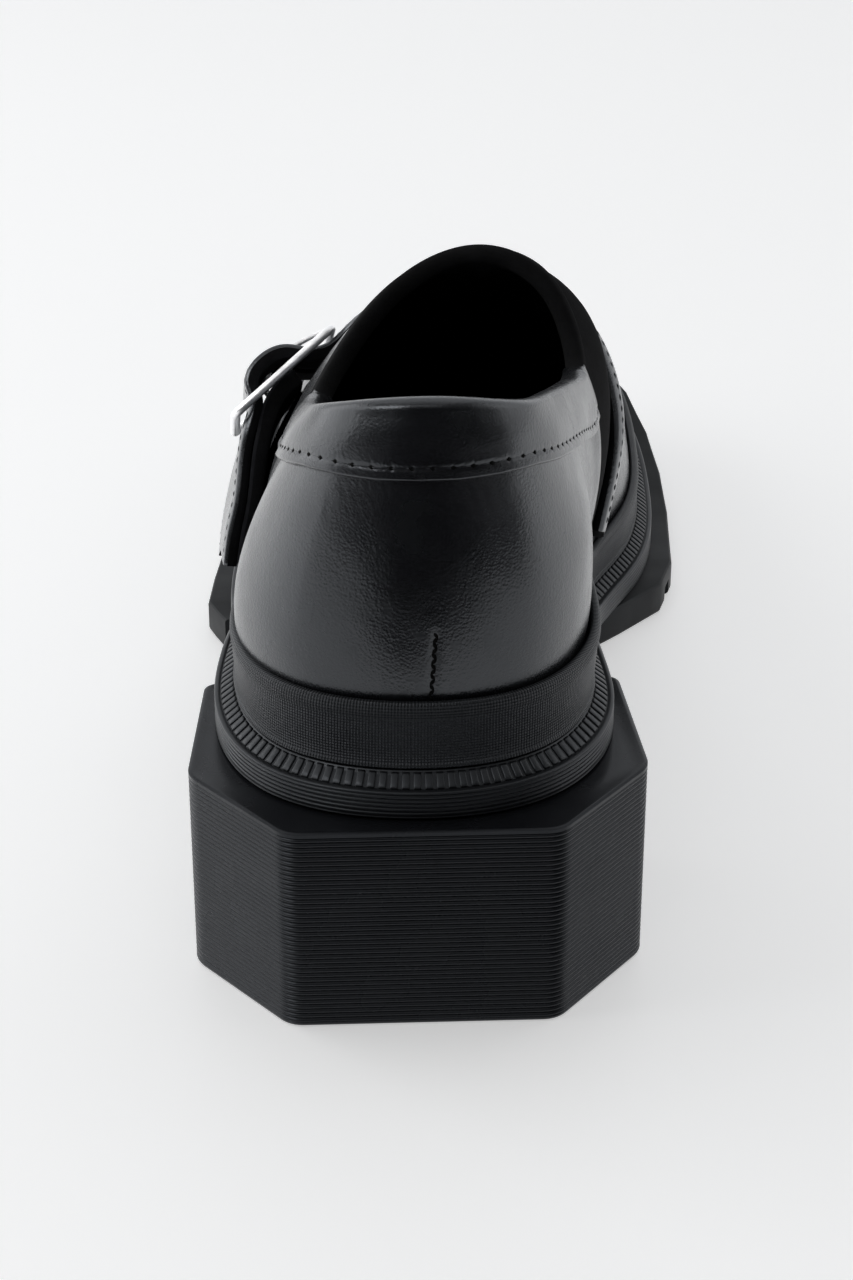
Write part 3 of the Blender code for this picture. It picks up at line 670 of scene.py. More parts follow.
def level_below_top(loop, depth):
    top = top_edge(loop)
    return level_where(loop, lambda points: np.linalg.norm(points - top, axis=-1) > depth)


def welt_line(loop, reach, rise):
    """Line round the welt at a reach beyond the upper's edge, from the seat below to the edge above."""
    foot, outward = edge(loop)
    line = foot + reach * outward
    share = rise / WELT_TOP_RISE
    line[..., 2] = rise + (1.0 - share) * seat(line[..., 1]) + share * seat(foot[..., 1])
    return line


def run_along(points):
    """Distance along a row of points, starting at zero."""
    return np.concatenate([[0.0], np.cumsum(np.linalg.norm(np.diff(points, axis=0), axis=1))])


def even_places(count, reach):
    """Places on the loop at even distances along the welt, and its whole length."""
    fine = np.linspace(0.0, 2 * TOE, LOOP_SAMPLES)
    run = run_along(welt_line(fine, reach, 0.0))
    return np.interp(np.arange(count) * run[-1] / count, run, fine), run[-1]


def back_run(loop):
    """Distance round the upper's edge from the back seam, lateral side negative."""
    fine = np.linspace(0.0, 2 * TOE, LOOP_SAMPLES)
    run = run_along(edge(fine)[0])
    distance = np.interp(np.asarray(loop, float) % (2 * TOE), fine, run)
    return np.where(distance < 0.5 * run[-1], -distance, run[-1] - distance)


# Meshes
def grid_faces(rows, columns, wrap_rows=False, wrap_columns=False):
    """Quads of a grid, and the unwrapped grid place of every corner."""
    i = np.arange(rows if wrap_rows else rows - 1)
    j = np.arange(columns if wrap_columns else columns - 1)
    i, j = np.meshgrid(i, j, indexing="ij")
    rows_of = np.stack([i, i + 1, i + 1, i], -1).reshape(-1, 4)
    columns_of = np.stack([j, j, j + 1, j + 1], -1).reshape(-1, 4)
    return (rows_of % rows) * columns + columns_of % columns, rows_of, columns_of


def capped(rings):
    """Points and faces of a tube given by its rings, with a lid on its first and its last ring."""
    layers, count = rings.shape[:2]
    faces = grid_faces(layers, count, wrap_columns=True)[0].tolist()
    faces += [tuple(range(count)), tuple(range((layers - 1) * count, layers * count))]
    return rings.reshape(-1, 3), faces


def plated(rings):
    """Points and faces of rings round the shoe, with strips across the first and the last ring as lids."""
    layers, count = rings.shape[:2]
    faces = grid_faces(layers, count, wrap_columns=True)[0].tolist()
    for base in (0, (layers - 1) * count):
        far, middle = base + count, base + count // 2
        faces.append((base, base + 1, far - 1))
        faces += [(base + j, base + j + 1, far - j - 1, far - j) for j in range(1, count // 2 - 1)]
        faces.append((middle - 1, middle, middle + 1))
    return rings.reshape(-1, 3), faces


def thicken(faces, outer, inner):
    """Closed solid between two sheets that share their faces; open edges get side walls."""
    count = len(outer)
    edges = {(face[i], face[(i + 1) % len(face)]) for face in faces for i in range(len(face))}
    closed = list(faces)
    closed += [tuple(i + count for i in reversed(face)) for face in faces]
    closed += [(b, a, a + count, b + count) for a, b in edges if (b, a) not in edges]
    return np.vstack([outer, inner]), closed


def joined(solids):
    """Points and faces of several solids as one mesh."""
    points, faces = [], []
    for solid_points, solid_faces in solids:
        faces += [tuple(i + len(points) for i in face) for face in solid_faces]
        points += list(solid_points)
    return np.array(points), faces


@contextlib.contextmanager
def opened(mesh):
    """Working copy of a mesh that is written back at the end."""
    work = bmesh.new()
    work.from_mesh(mesh)
    yield work
    work.to_mesh(mesh)
    work.free()


def linked(name, data):
    """New scene object with a mesh, a light or a camera."""
    item = bpy.data.objects.new(name, data)
    bpy.context.scene.collection.objects.link(item)
    return item


def add_piece(name, points, faces, materials, node=None, slot=None, line_uv=None, face_slots=None):
    """Mesh piece in the shared frame that rides with the shoe and may stand for a solid."""
    mesh = bpy.data.meshes.new(name)
    places = (np.asarray(points, float) - SHIFT) * MM
    mesh.from_pydata(places.tolist(), [], [tuple(map(int, face)) for face in faces])
    for material in materials:
        mesh.materials.append(material)
    if face_slots is not None:
        mesh.polygons.foreach_set("material_index", np.asarray(face_slots, np.int32))
    if line_uv is not None:
        layer = mesh.uv_layers.new(name="lines")
        layer.data.foreach_set("uv", np.asarray(line_uv, np.float32).ravel())
    with opened(mesh) as work:
        bmesh.ops.remove_doubles(work, verts=work.verts, dist=SAME_PLACE)
        bmesh.ops.recalc_face_normals(work, faces=work.faces)
    mesh.shade_smooth()
    piece = linked(name, mesh)
    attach(piece, "root")
    if node:
        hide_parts(node)
    return piece


def sharpen(piece, degrees):
    """Keeps edges sharper than the angle crisp under smooth shading."""
    with opened(piece.data) as work:
        for side in work.edges:
            side.smooth = len(side.link_faces) != 2 or side.calc_face_angle(0.0) < math.radians(degrees)


def soften(piece, middle, reach, rounds):
    """Evens out a piece's surface near a place."""
    spot = (np.array(middle) - SHIFT) * MM
    axes = {"use_axis_x": True, "use_axis_y": True, "use_axis_z": True}
    with opened(piece.data) as work:
        near = [corner for corner in work.verts if np.linalg.norm(np.array(corner.co) - spot) < reach * MM]
        for _ in range(rounds):
            bmesh.ops.smooth_vert(work, verts=near, factor=0.5, **axes)


def thread_legs(legs, radius, rise, sink):
    """Short bowed threads; a leg is its start, its end and the direction off the surface."""
    parts = np.linspace(0.0, 1.0, THREAD_RINGS)
    bows = np.sin(math.pi * parts)
    sizes = radius * (THREAD_END + (1.0 - THREAD_END) * bows)
    turns = math.tau * np.arange(THREAD_SIDES) / THREAD_SIDES
    threads = []
    for start, end, off in legs:
        side = unit(np.cross(unit(end - start), off))
        middles = start + parts[:, None] * (end - start) + (rise * bows - sink)[:, None] * off
        ring = np.cos(turns)[:, None] * side + np.sin(turns)[:, None] * off
        threads.append(capped(middles[:, None] + sizes[:, None, None] * ring))
    return joined(threads)


def on_line(distance, run, values):
    """Row of values at a distance along a line."""
    return np.array([np.interp(distance, run, column) for column in values.T])


def stitch_legs(line, offs, pitch, length):
    """Legs of a running stitch along a line of points."""
    run = run_along(line)
    count = int(run[-1] // pitch)
    legs = []
    for middle in (np.arange(count) + 0.5) * run[-1] / count:
        start = on_line(middle - 0.5 * length, run, line)
        end = on_line(middle + 0.5 * length, run, line)
        legs.append((start, end, unit(on_line(middle, run, offs))))
    return legs


# Materials
def fill(tree, node, inputs):
    """Sets a node's inputs: an even value goes on the socket itself, another node's output is linked."""
    for name, value in inputs.items():
        if isinstance(value, bpy.types.NodeSocket):
            tree.links.new(value, node.inputs[name])
        else:
            node.inputs[name].default_value = value


def add_node(tree, kind, inputs):
    node = tree.nodes.new(kind)
    fill(tree, node, inputs)
    return node


def material_base(name, colour, roughness, settings):
    """Principled material with its even values, its node tree and its shader."""
    material = bpy.data.materials.new(name)
    material.use_nodes = True
    tree = material.node_tree
    shader = tree.nodes["Principled BSDF"]
    fill(tree, shader, {"Base Color": (*colour, 1.0), "Roughness": roughness, **settings})
    return material, tree, shader


def object_space(tree):
    return tree.nodes.new("ShaderNodeTexCoord").outputs["Object"]


def stretched(tree, place, scale):
    return add_node(tree, "ShaderNodeMapping", {"Vector": place, "Scale": scale}).outputs["Vector"]


def noise(tree, place, scale, detail):
    inputs = {"Vector": place, "Scale": scale, "Detail": detail}
    return add_node(tree, "ShaderNodeTexNoise", inputs).outputs["Fac"]


def between(tree, factor, limits, from_limits=NOISE_LIMITS):
    """Value that follows a factor between two limits."""
    inputs = {"Value": factor}
    inputs["From Min"], inputs["From Max"] = from_limits
    inputs["To Min"], inputs["To Max"] = limits
    return add_node(tree, "ShaderNodeMapRange", inputs).outputs["Result"]


def two_tone(tree, factor, dark, light):
    """Colour that follows a factor from dark to light."""
    ramp = add_node(tree, "ShaderNodeValToRGB", {"Fac": factor})
    for stop, position, colour in zip(ramp.color_ramp.elements, NOISE_LIMITS, (dark, light)):
        stop.position = position
        stop.color = (*colour, 1.0)
    return ramp.outputs["Color"]


def bump(tree, height, strength, distance, before=None):
    """Normal bent by a height, on top of an earlier bump where one is given."""
    inputs = {"Height": height, "Strength": strength, "Distance": distance}
    if before:
        inputs["Normal"] = before
    return add_node(tree, "ShaderNodeBump", inputs).outputs["Normal"]


def leather_material(name, dark, light, rough, gloss, coat, grain_scale, grain_depth):
    settings = {"Specular IOR Level": gloss, "Specular Tint": COOL_TINT}
    settings.update({"Coat Weight": coat, "Coat Roughness": COAT_ROUGHNESS})
    material, tree, shader = material_base(name, light, rough[1], settings)
    place = object_space(tree)
    tone = noise(tree, place, scale=70.0, detail=4.0)
    wear = noise(tree, place, scale=160.0, detail=5.0)
    fibres = noise(tree, stretched(tree, place, GRAIN_STRETCH), scale=900.0, detail=6.0)
    hollows = noise(tree, place, scale=110.0, detail=3.0)
    cells = tree.nodes.new("ShaderNodeTexVoronoi")
    cells.feature = "SMOOTH_F1"
    fill(tree, cells, {"Vector": place, "Scale": grain_scale, "Smoothness": 0.6})
    normal = bump(tree, cells.outputs["Distance"], strength=0.5, distance=grain_depth)
    normal = bump(tree, fibres, strength=0.5, distance=grain_depth, before=normal)
    normal = bump(tree, hollows, strength=0.05, distance=0.0005, before=normal)
    colour = two_tone(tree, tone, dark, light)
    fill(tree, shader, {"Base Color": colour, "Roughness": between(tree, wear, rough), "Normal": normal})
    return material


def rubber_material(name, dark, light, rough, gloss, speck_depth, line_pitch=None, line_depth=0.0):
    settings = {"Specular IOR Level": gloss, "Specular Tint": COOL_TINT}
    material, tree, shader = material_base(name, light, rough[1], settings)
    place = object_space(tree)
    tone = noise(tree, place, scale=55.0, detail=5.0)
    wear = noise(tree, place, scale=90.0, detail=4.0)
    specks = noise(tree, place, scale=1400.0, detail=4.0)
    normal = bump(tree, specks, strength=0.3, distance=speck_depth)
    if line_pitch:
        lines = tree.nodes.new("ShaderNodeUVMap")
        lines.uv_map = "lines"
        inputs = {"Vector": lines.outputs["UV"], "Distortion": 0.4, "Detail": 1.0}
        inputs["Scale"] = math.tau / (WAVE_RATE * line_pitch)
        for direction in ("X", "Y"):
            wave = tree.nodes.new("ShaderNodeTexWave")
            wave.wave_type = "BANDS"
            wave.bands_direction = direction
            fill(tree, wave, inputs)
            normal = bump(tree, wave.outputs["Fac"], strength=0.6, distance=line_depth, before=normal)
    colour = two_tone(tree, tone, dark, light)
    fill(tree, shader, {"Base Color": colour, "Roughness": between(tree, wear, rough), "Normal": normal})
    return material


def cloth_material(name, dark, light, nap_depth):
    material, tree, shader = material_base(name, light, CLOTH_ROUGHNESS, {"Specular IOR Level": CLOTH_GLOSS})
    place = object_space(tree)
    tone = noise(tree, place, scale=300.0, detail=6.0)
    nap = noise(tree, place, scale=1800.0, detail=5.0)
    normal = bump(tree, nap, strength=0.6, distance=nap_depth)
    fill(tree, shader, {"Base Color": two_tone(tree, tone, dark, light), "Normal": normal})
    return material


def metal_material(name, dark, light, rough):
    material, tree, shader = material_base(name, METAL_COLOUR, METAL_ROUGHNESS, {"Metallic": 1.0})
    place = object_space(tree)
    tone = noise(tree, place, scale=400.0, detail=4.0)
    brushed = noise(tree, stretched(tree, place, BRUSH_STRETCH), scale=900.0, detail=3.0)
    normal = bump(tree, brushed, strength=0.08, distance=0.00005)
    colour = two_tone(tree, tone, dark, light)
    fill(tree, shader, {"Base Color": colour, "Roughness": between(tree, brushed, rough), "Normal": normal})
    return material


def floor_material(name, dark, light):
    settings = {"Specular IOR Level": FLOOR_GLOSS, "Emission Color": WHITE, "Emission Strength": FLOOR_GLOW}
    material, tree, shader = material_base(name, FLOOR_COLOUR, FLOOR_ROUGHNESS, settings)
    tone = noise(tree, object_space(tree), scale=2.0, detail=2.0)
    fill(tree, shader, {"Base Color": two_tone(tree, tone, dark, light)})
    return material


leather = leather_material(
    "leather",
    dark=(0.0038, 0.0041, 0.0052),
    light=(0.0056, 0.0061, 0.0076),
    rough=(0.22, 0.30),
    gloss=0.60,
    coat=0.2,
    grain_scale=1900.0,
    grain_depth=0.00008,
)
strap_leather = leather_material(
    "strap_leather",
    dark=(0.004, 0.004, 0.0045),
    light=(0.008, 0.008, 0.0085),
    rough=(0.22, 0.30),
    gloss=0.9,
    coat=0.4,
    grain_scale=1500.0,
    grain_depth=0.00005,
)
heel_rubber = rubber_material(
    "heel_rubber",
    dark=(0.0092, 0.0100, 0.0122),
    light=(0.0115, 0.0124, 0.0150),
    rough=(0.22, 0.30),
    gloss=0.26,
    speck_depth=0.00003,
)
welt_rubber = rubber_material(
    "welt_rubber",
    dark=(0.0062, 0.0069, 0.0084),
    light=(0.0085, 0.0093, 0.0112),
    rough=(0.30, 0.40),
    gloss=0.36,
    speck_depth=0.00002,
)
rand_rubber = rubber_material(
    "rand_rubber",
    dark=(0.0072, 0.0080, 0.0098),
    light=(0.0097, 0.0106, 0.0128),
    rough=(0.38, 0.48),
    gloss=0.30,
    speck_depth=0.00002,
    line_pitch=RAND_LINE_PITCH,
    line_depth=0.00020,
)
sole_rubber = rubber_material(
    "sole_rubber",
    dark=(0.0055, 0.006, 0.0065),
    light=(0.009, 0.0095, 0.010),
    rough=(0.44, 0.56),
    gloss=0.14,
    speck_depth=0.00004,
)
lining = cloth_material("lining", (0.0012, 0.0012, 0.0012), (0.0022, 0.0022, 0.0022), nap_depth=0.00006)
suede = cloth_material("suede", (0.0030, 0.0031, 0.0036), (0.0062, 0.0064, 0.0074), nap_depth=0.00015)
strap_suede = cloth_material(
    "strap_suede", (0.0095, 0.0098, 0.0118), (0.0150, 0.0156, 0.0186), nap_depth=0.00015
)
thread = cloth_material("thread", (0.0015, 0.0015, 0.0015), (0.004, 0.004, 0.004), nap_depth=0.00004)
metal = metal_material("polished_metal", (0.88, 0.88, 0.89), (0.95, 0.95, 0.95), rough=(0.30, 0.42))
pale_floor = floor_material("floor", (0.83, 0.835, 0.84), (0.85, 0.853, 0.856))
black_card, *_ = material_base("dark_card", CARD_COLOUR, roughness=1.0, settings={"Specular IOR Level": 0.0})


# Heel block
def heel_outline():
    """Rounded outline of the heel block and its outward directions, both in plan."""
    right = [(HEEL_BACK_HALF, HEEL_BACK_Y), (HEEL_WIDE_HALF, HEEL_WIDE_Y), (HEEL_FRONT_HALF, HEEL_FRONT_Y)]
    corners = right + [(-x, y) for x, y in reversed(right)]
    outline = []
    for i, corner in enumerate(corners):
        here = np.array(corner)
        start = here + HEEL_CORNER * unit(np.array(corners[i - 1]) - here)
        end = here + HEEL_CORNER * unit(np.array(corners[(i + 1) % len(corners)]) - here)
        for part in np.linspace(0.0, 1.0, HEEL_CORNER_STEPS):
            outline.append((1 - part) ** 2 * start + 2 * part * (1 - part) * here + part**2 * end)
    outline = np.array(outline)
    along = unit(np.roll(outline, -1, 0) - np.roll(outline, 1, 0))
    return outline, np.stack([along[:, 1], -along[:, 0]], -1)


def build_heel():
    outline, outward = heel_outline()
    rows = [(HEEL_FOOT_INSET, 0.0)]
    for angle in np.linspace(0.0, 0.5 * math.pi, HEEL_FOOT_STEPS):
        rows.append((HEEL_FOOT * (1 - math.sin(angle)), HEEL_FOOT * (1 - math.cos(angle))))
    pitch = (HEEL_HEIGHT - HEEL_RIM - HEEL_FOOT) / HEEL_RIBS
    for rib in range(HEEL_RIBS):
        for k in range(1, HEEL_RIB_ROWS + 1):
            part = k / HEEL_RIB_ROWS
            groove = (2.0 * part - 1.0) ** 2
            rows.append((HEEL_RIB_DEPTH * groove, HEEL_FOOT + (rib + part) * pitch))
    rows += [(inset, HEEL_HEIGHT - drop) for inset, drop in HEEL_TOP]
    cosine, sine = math.cos(HEEL_TURN), math.sin(HEEL_TURN)
    turn = np.array([[cosine, sine], [-sine, cosine]])
    rings = []
    for inset, height in rows:
        plan = (outline - inset * outward) @ turn + (HEEL_MIDDLE_X, 0.0)
        rings.append(np.column_stack([plan, np.full(len(plan), height)]))
    piece = add_piece("heel_block", *capped(np.array(rings)), [heel_rubber], "heel", "rubber")
    sharpen(piece, HEEL_SHARP)


# Outsole with its platform and lugs
def build_outsole():
    table = np.asarray(OUTSOLE_OUTLINE)
    first, last = table[0, 0], table[-1, 0]
    stations = [*table[:, 0], *np.arange(first + STATION_STEP, last - STATION_END_ROOM, STATION_STEP)]
    for groove in LUG_GROOVES:
        for wall_y in (groove, groove + LUG_GROOVE_WIDTH):
            stations += [wall_y - 0.5 * WALL_STEP, wall_y + 0.5 * WALL_STEP]
    rings = []
    for y in sorted(set(stations)):
        in_groove = any(groove < y < groove + LUG_GROOVE_WIDTH for groove in LUG_GROOVES)
        cut = LUG_GROOVE_DEPTH if in_groove else 0.0
        top = float(seat(y)) - GAP
        if y < PLATFORM_BACK:
            bottom = top - WAIST_THICK
        elif y < SPRING_START:
            bottom = cut
        else:
            bottom = top - (BALL_SEAT - GAP) + cut
        left = np.interp(y, table[:, 0], table[:, 1]) + OUTSOLE_ROUND
        right = np.interp(y, table[:, 0], table[:, 2]) - OUTSOLE_ROUND
        low, high = bottom + OUTSOLE_ROUND, top - OUTSOLE_ROUND
        ring = []
        for corner, (x, z) in enumerate(((right, low), (right, high), (left, high), (left, low))):
            for part in np.linspace(0.0, 1.0, OUTSOLE_ROUND_STEPS):
                angle = 0.5 * math.pi * (corner - 1 + part)
                ring.append((x + OUTSOLE_ROUND * math.cos(angle), y, z + OUTSOLE_ROUND * math.sin(angle)))
        rings.append(ring)
    piece = add_piece("platform_sole", *capped(np.array(rings)), [sole_rubber], "outsole", "rubber")
    sharpen(piece, OUTSOLE_SHARP)


# Welt with grooved side and milled teeth
def band_point(part):
    """Reach and rise of a line on the welt's sloped band, part of the way up it."""
    reach = WELT_BAND_OUTER + part * (WELT_BAND_INNER - WELT_BAND_OUTER)
    rise = WELT_RIM_RISE - BAND_SINK + part * (WELT_TOP_RISE - WELT_RIM_RISE - BAND_DROP)
    return reach, rise


def build_welt():
    rows = [(WELT_REACH + beyond, rise) for beyond, rise in WELT_FOOT]
    for groove in range(WELT_GROOVES):
        base = WELT_GROOVE_START + groove * WELT_GROOVE_PITCH
        rows += [(WELT_REACH + beyond, base + part * WELT_GROOVE_PITCH) for beyond, part in WELT_GROOVE]
    rows += [(WELT_REACH + beyond, WELT_RIM_RISE + rise) for beyond, rise in WELT_RIM]
    rows += [(WELT_BAND_OUTER + beyond, WELT_RIM_RISE + rise) for beyond, rise in WELT_RIM_INSIDE]
    rows += [band_point(part) for part in np.linspace(BAND_FROM, 1.0, BAND_ROWS)]
    rows += [(WELT_BAND_INNER - inset, WELT_TOP_RISE) for inset in WELT_TOP_INSETS]
    places, _ = even_places(WELT_STEPS, WELT_REACH)
    rings = np.array([welt_line(places, reach, rise) for reach, rise in rows])
    add_piece("welt", *plated(rings), [welt_rubber], "midsole", "rubber")


def build_teeth():
    """Raised pads between the milled nicks of the welt's sloped band."""
    _, length = even_places(1, WELT_BAND_OUTER)
    starts, _ = even_places(int(round(length / TOOTH_PITCH)), WELT_BAND_OUTER)
    rows, columns = len(TOOTH_UP), len(TOOTH_ACROSS)
    grid = np.arange(rows * columns).reshape(rows, columns)
    rim = [*grid[0], *grid[1:, -1], *grid[-1, -2::-1], *grid[-2:0:-1, 0]]
    faces = grid_faces(rows, columns)[0].tolist()
    faces += [(rim[k], rim[k - 1], rows * columns) for k in range(len(rim))]
    teeth = []
    for start, after in zip(starts, np.append(starts[1:], 2 * TOE)):
        points = []
        for part, lift_up in TOOTH_UP:
            reach, rise = band_point(part)
            for offset, lift_side in TOOTH_ACROSS:
                place = start + (0.5 + TOOTH_SHARE * offset) * (after - start)
                lift = TOOTH_HEIGHT * min(lift_up, lift_side)
                points.append(welt_line(np.array([place]), reach, rise)[0] + lift * UP)
        points.append(np.mean([points[i] for i in rim], axis=0))
        teeth.append((points, faces))
    add_piece("welt_teeth", *joined(teeth), [welt_rubber], None, "rubber")


# Rand round the foot of the upper
def rand_height(y):
    return RAND_HEEL_HEIGHT + (RAND_BALL_HEIGHT - RAND_HEEL_HEIGHT) * smooth_step(y, ARCH_START, ARCH_END)


def build_rand():
    places, length = even_places(RAND_STEPS, RAND_FOOT_THICK)
    foot, outward = edge(places)
    tall = rand_height(foot[:, 1])
    rows = list(RAND_FACE)
    for line in range(LIP_LINES):
        for part, cut in LIP_LINE:
            share = (line + part) / LIP_LINES
            bulge = LIP_REACH + LIP_BULGE * math.sin(math.pi * share)
            rows.append((LIP_START + share * (LIP_END - LIP_START), bulge - cut))
    rows += RAND_BACK
    rings = []
    for part, depth in rows:
        level = level_at_height(places, foot[:, 2] + part * tall)
        thick = RAND_FOOT_THICK + part * (RAND_TOP_THICK - RAND_FOOT_THICK)
        rings.append(wall(places, level) + (GAP + depth * thick) * outward)
    points = np.array(rings).reshape(-1, 3)
    faces, rows_of, columns_of = grid_faces(len(rows), RAND_STEPS, wrap_rows=True, wrap_columns=True)
    heights = np.array([part for part, _ in rows] + [0.0]) * RAND_HEEL_HEIGHT
    line_uv = np.stack([columns_of * length / RAND_STEPS, heights[rows_of]], -1)
    add_piece("rand_band", points, faces, [rand_rubber], "rand", "rubber", line_uv)


def build_insole():
    places, _ = even_places(INSOLE_STEPS, 0.0)
    foot, outward = edge(places)
    rings = []
    for inset, drop in INSOLE_EDGE:
        rings.append(foot - (INSOLE_INSET + inset) * outward + (INSOLE_THICK - drop) * UP)
    add_piece("insole_sock", *plated(np.array(rings)), [lining], "insole", "lining")


# Upper
def seam_run(height):
    """Distance of the short back seam from the middle of the back, which it leaves a little."""
    return np.interp(height, (SEAM_FOOT, SEAM_TOP), (SEAM_FOOT_RUN, SEAM_TOP_RUN))


def relief(run, height):
    """Height of the leather's folds above the last, from the distance round the back and the height."""
    beside = (run - seam_run(height)) / SEAM_WIDTH
    faded = smooth_step(height, SEAM_TOP - SEAM_FADE_BELOW, SEAM_TOP + SEAM_FADE_ABOVE)
    total = -SEAM_DEPTH * np.exp(-(beside**2)) * (1.0 - faded)
    for length, depth, slant, start in SWELLS:
        total += depth * np.sin((run + slant * height) / length + start) * np.sin(height / length + start)
    for middle_run, middle_height, half_run, half_height, depth in SIDE_SWELLS:
        off_run, off_height = (run - middle_run) / half_run, (height - middle_height) / half_height
        total += depth * np.exp(-(off_run**2) - off_height**2)
    for start_run, start_height, end_run, end_height, depth, half_width in CREASES:
        along = np.array([end_run - start_run, end_height - start_height])
        part = ((run - start_run) * along[0] + (height - start_height) * along[1]) / np.dot(along, along)
        inside = np.clip(part, 0.0, 1.0)
        off = np.hypot(run - start_run - inside * along[0], height - start_height - inside * along[1])
        total -= depth * np.exp(-((off / half_width) ** 2)) * (1.0 - CREASE_FADE * inside)
    return total


def in_suede(section, side, level):
    """Matt field behind the strap: the gusset of the medial side and the top of the tongue."""
    gusset = (side > 0) & (section > SUEDE_MEDIAL_START)
    tongue = (side < 0) & (section > SUEDE_LATERAL_START) & (level > SUEDE_TONGUE_LEVEL)
    return (gusset | tongue) & (section < SUEDE_END)


def build_upper():
    back_count = int(2 * BACK_SECTIONS * BACK_STEPS)
    front_count = int(2 * (TOE - BACK_SECTIONS) * FRONT_STEPS)
    back = np.linspace(-BACK_SECTIONS, BACK_SECTIONS, back_count, endpoint=False)
    front = BACK_SECTIONS + np.arange(front_count) / FRONT_STEPS
    places = np.sort(np.concatenate([back, front]) % (2 * TOE))
    levels = np.linspace(0.0, 1.0, UPPER_ROWS)
    loop, level = np.meshgrid(places, levels, indexing="ij")
    base = wall(loop, level)
    normals = wall_normal(loop, level)
    section, side = section_of(places)
    for i in np.nonzero((section >= TIP) & (side < 0))[0]:
        twin = len(places) - i
        if twin < len(places):
            normals[i, -1] = unit(normals[i, -1] + normals[twin, -1])
            normals[twin, -1] = normals[i, -1]
    fold = relief(back_run(loop), base[..., 2]) * smooth_step(1.0 - level, 0.0, FOLD_FADE)
    outer = (base + fold[..., None] * normals).reshape(-1, 3)
    inner = (base - WALL * normals).reshape(-1, 3)
    faces = [tuple(face) for face in grid_faces(len(places), UPPER_ROWS, wrap_rows=True)[0].tolist()]
    count = len(outer)
    rim = []
    for i in range(len(places)):
        after = (i + 1) % len(places)
        low, low_after = i * UPPER_ROWS, after * UPPER_ROWS
        rim.append((low, low + count, low_after + count, low_after))
        if section[i] < TIP or section[after] < TIP:
            high, high_after = low + UPPER_ROWS - 1, low_after + UPPER_ROWS - 1
            rim.append((high, high_after, high_after + count, high + count))
    inside = [tuple(i + count for i in reversed(face)) for face in faces]
    materials = [leather, lining, suede]
    columns, rows = np.divmod([face[0] for face in faces], UPPER_ROWS)
    matt = in_suede(section[columns], side[columns], levels[rows])
    slots = np.where(matt, materials.index(suede), materials.index(leather)).tolist()
    slots += [materials.index(lining)] * (len(inside) + len(rim))
    points = np.vstack([outer, inner])
    piece = add_piece(
        "leather_upper", points, faces + inside + rim, materials, "upper", "leather", face_slots=slots
    )
    soften(piece, RIDGE[-1], TOE_SOFT_REACH, TOE_SOFT_ROUNDS)


def build_tongue_edge():
    """Matt band turned over the rim of the tongue, deeper on the lateral side."""
    lateral = np.linspace(BINDING_START, TIP, BINDING_STEPS)
    loops = np.concatenate([lateral, 2 * TOE - lateral[-2::-1]])
    rim = top_edge(loops)
    normal = wall_normal(loops, NEAR_TOP)
    tip = len(lateral) - 1
    low, high = tip - BINDING_EVEN_HALF, tip + BINDING_EVEN_HALF + 1
    for _ in range(BINDING_EVEN_ROUNDS):
        normal[low:high] = unit(normal[low - 1:high - 1] + normal[low:high] + normal[low + 1:high + 1])
    along = unit(np.gradient(rim, axis=0))
    normal = unit(normal - np.sum(normal * along, -1, keepdims=True) * along)
    over = np.cross(along, normal)
    from_tip = (np.arange(len(loops)) - tip) / tip
    shallow = smooth_step(from_tip, *BINDING_SHALLOWS)
    deep = BINDING_OUT_LATERAL + (BINDING_OUT_MEDIAL - BINDING_OUT_LATERAL) * shallow
    skin, back = BINDING_THICK, -WALL - BINDING_THICK
    rows = [(-BINDING_SINK, -deep)]
    rows += [(thick * skin, -depth * deep) for thick, depth in BINDING_FACE]
    for angle in np.linspace(0.0, math.pi, BINDING_ROLL_STEPS):
        reach = 0.5 * (skin + back) + 0.5 * (skin - back) * math.cos(angle)
        rows.append((reach, BINDING_ROLL * math.sin(angle)))
    rows += [(back, -0.5 * BINDING_IN), (back, BINDING_HEM_RISE - BINDING_IN)]
    rows += [(back + BINDING_HEM_REACH, -BINDING_IN), (-BINDING_CORE_SHARE * WALL, -BINDING_CORE_DROP)]
    rings = [rim + reach * normal + np.broadcast_to(rise, len(loops))[:, None] * over for reach, rise in rows]
    add_piece("tongue_edge", *capped(np.transpose(rings, (1, 0, 2))), [suede], None, "leather")


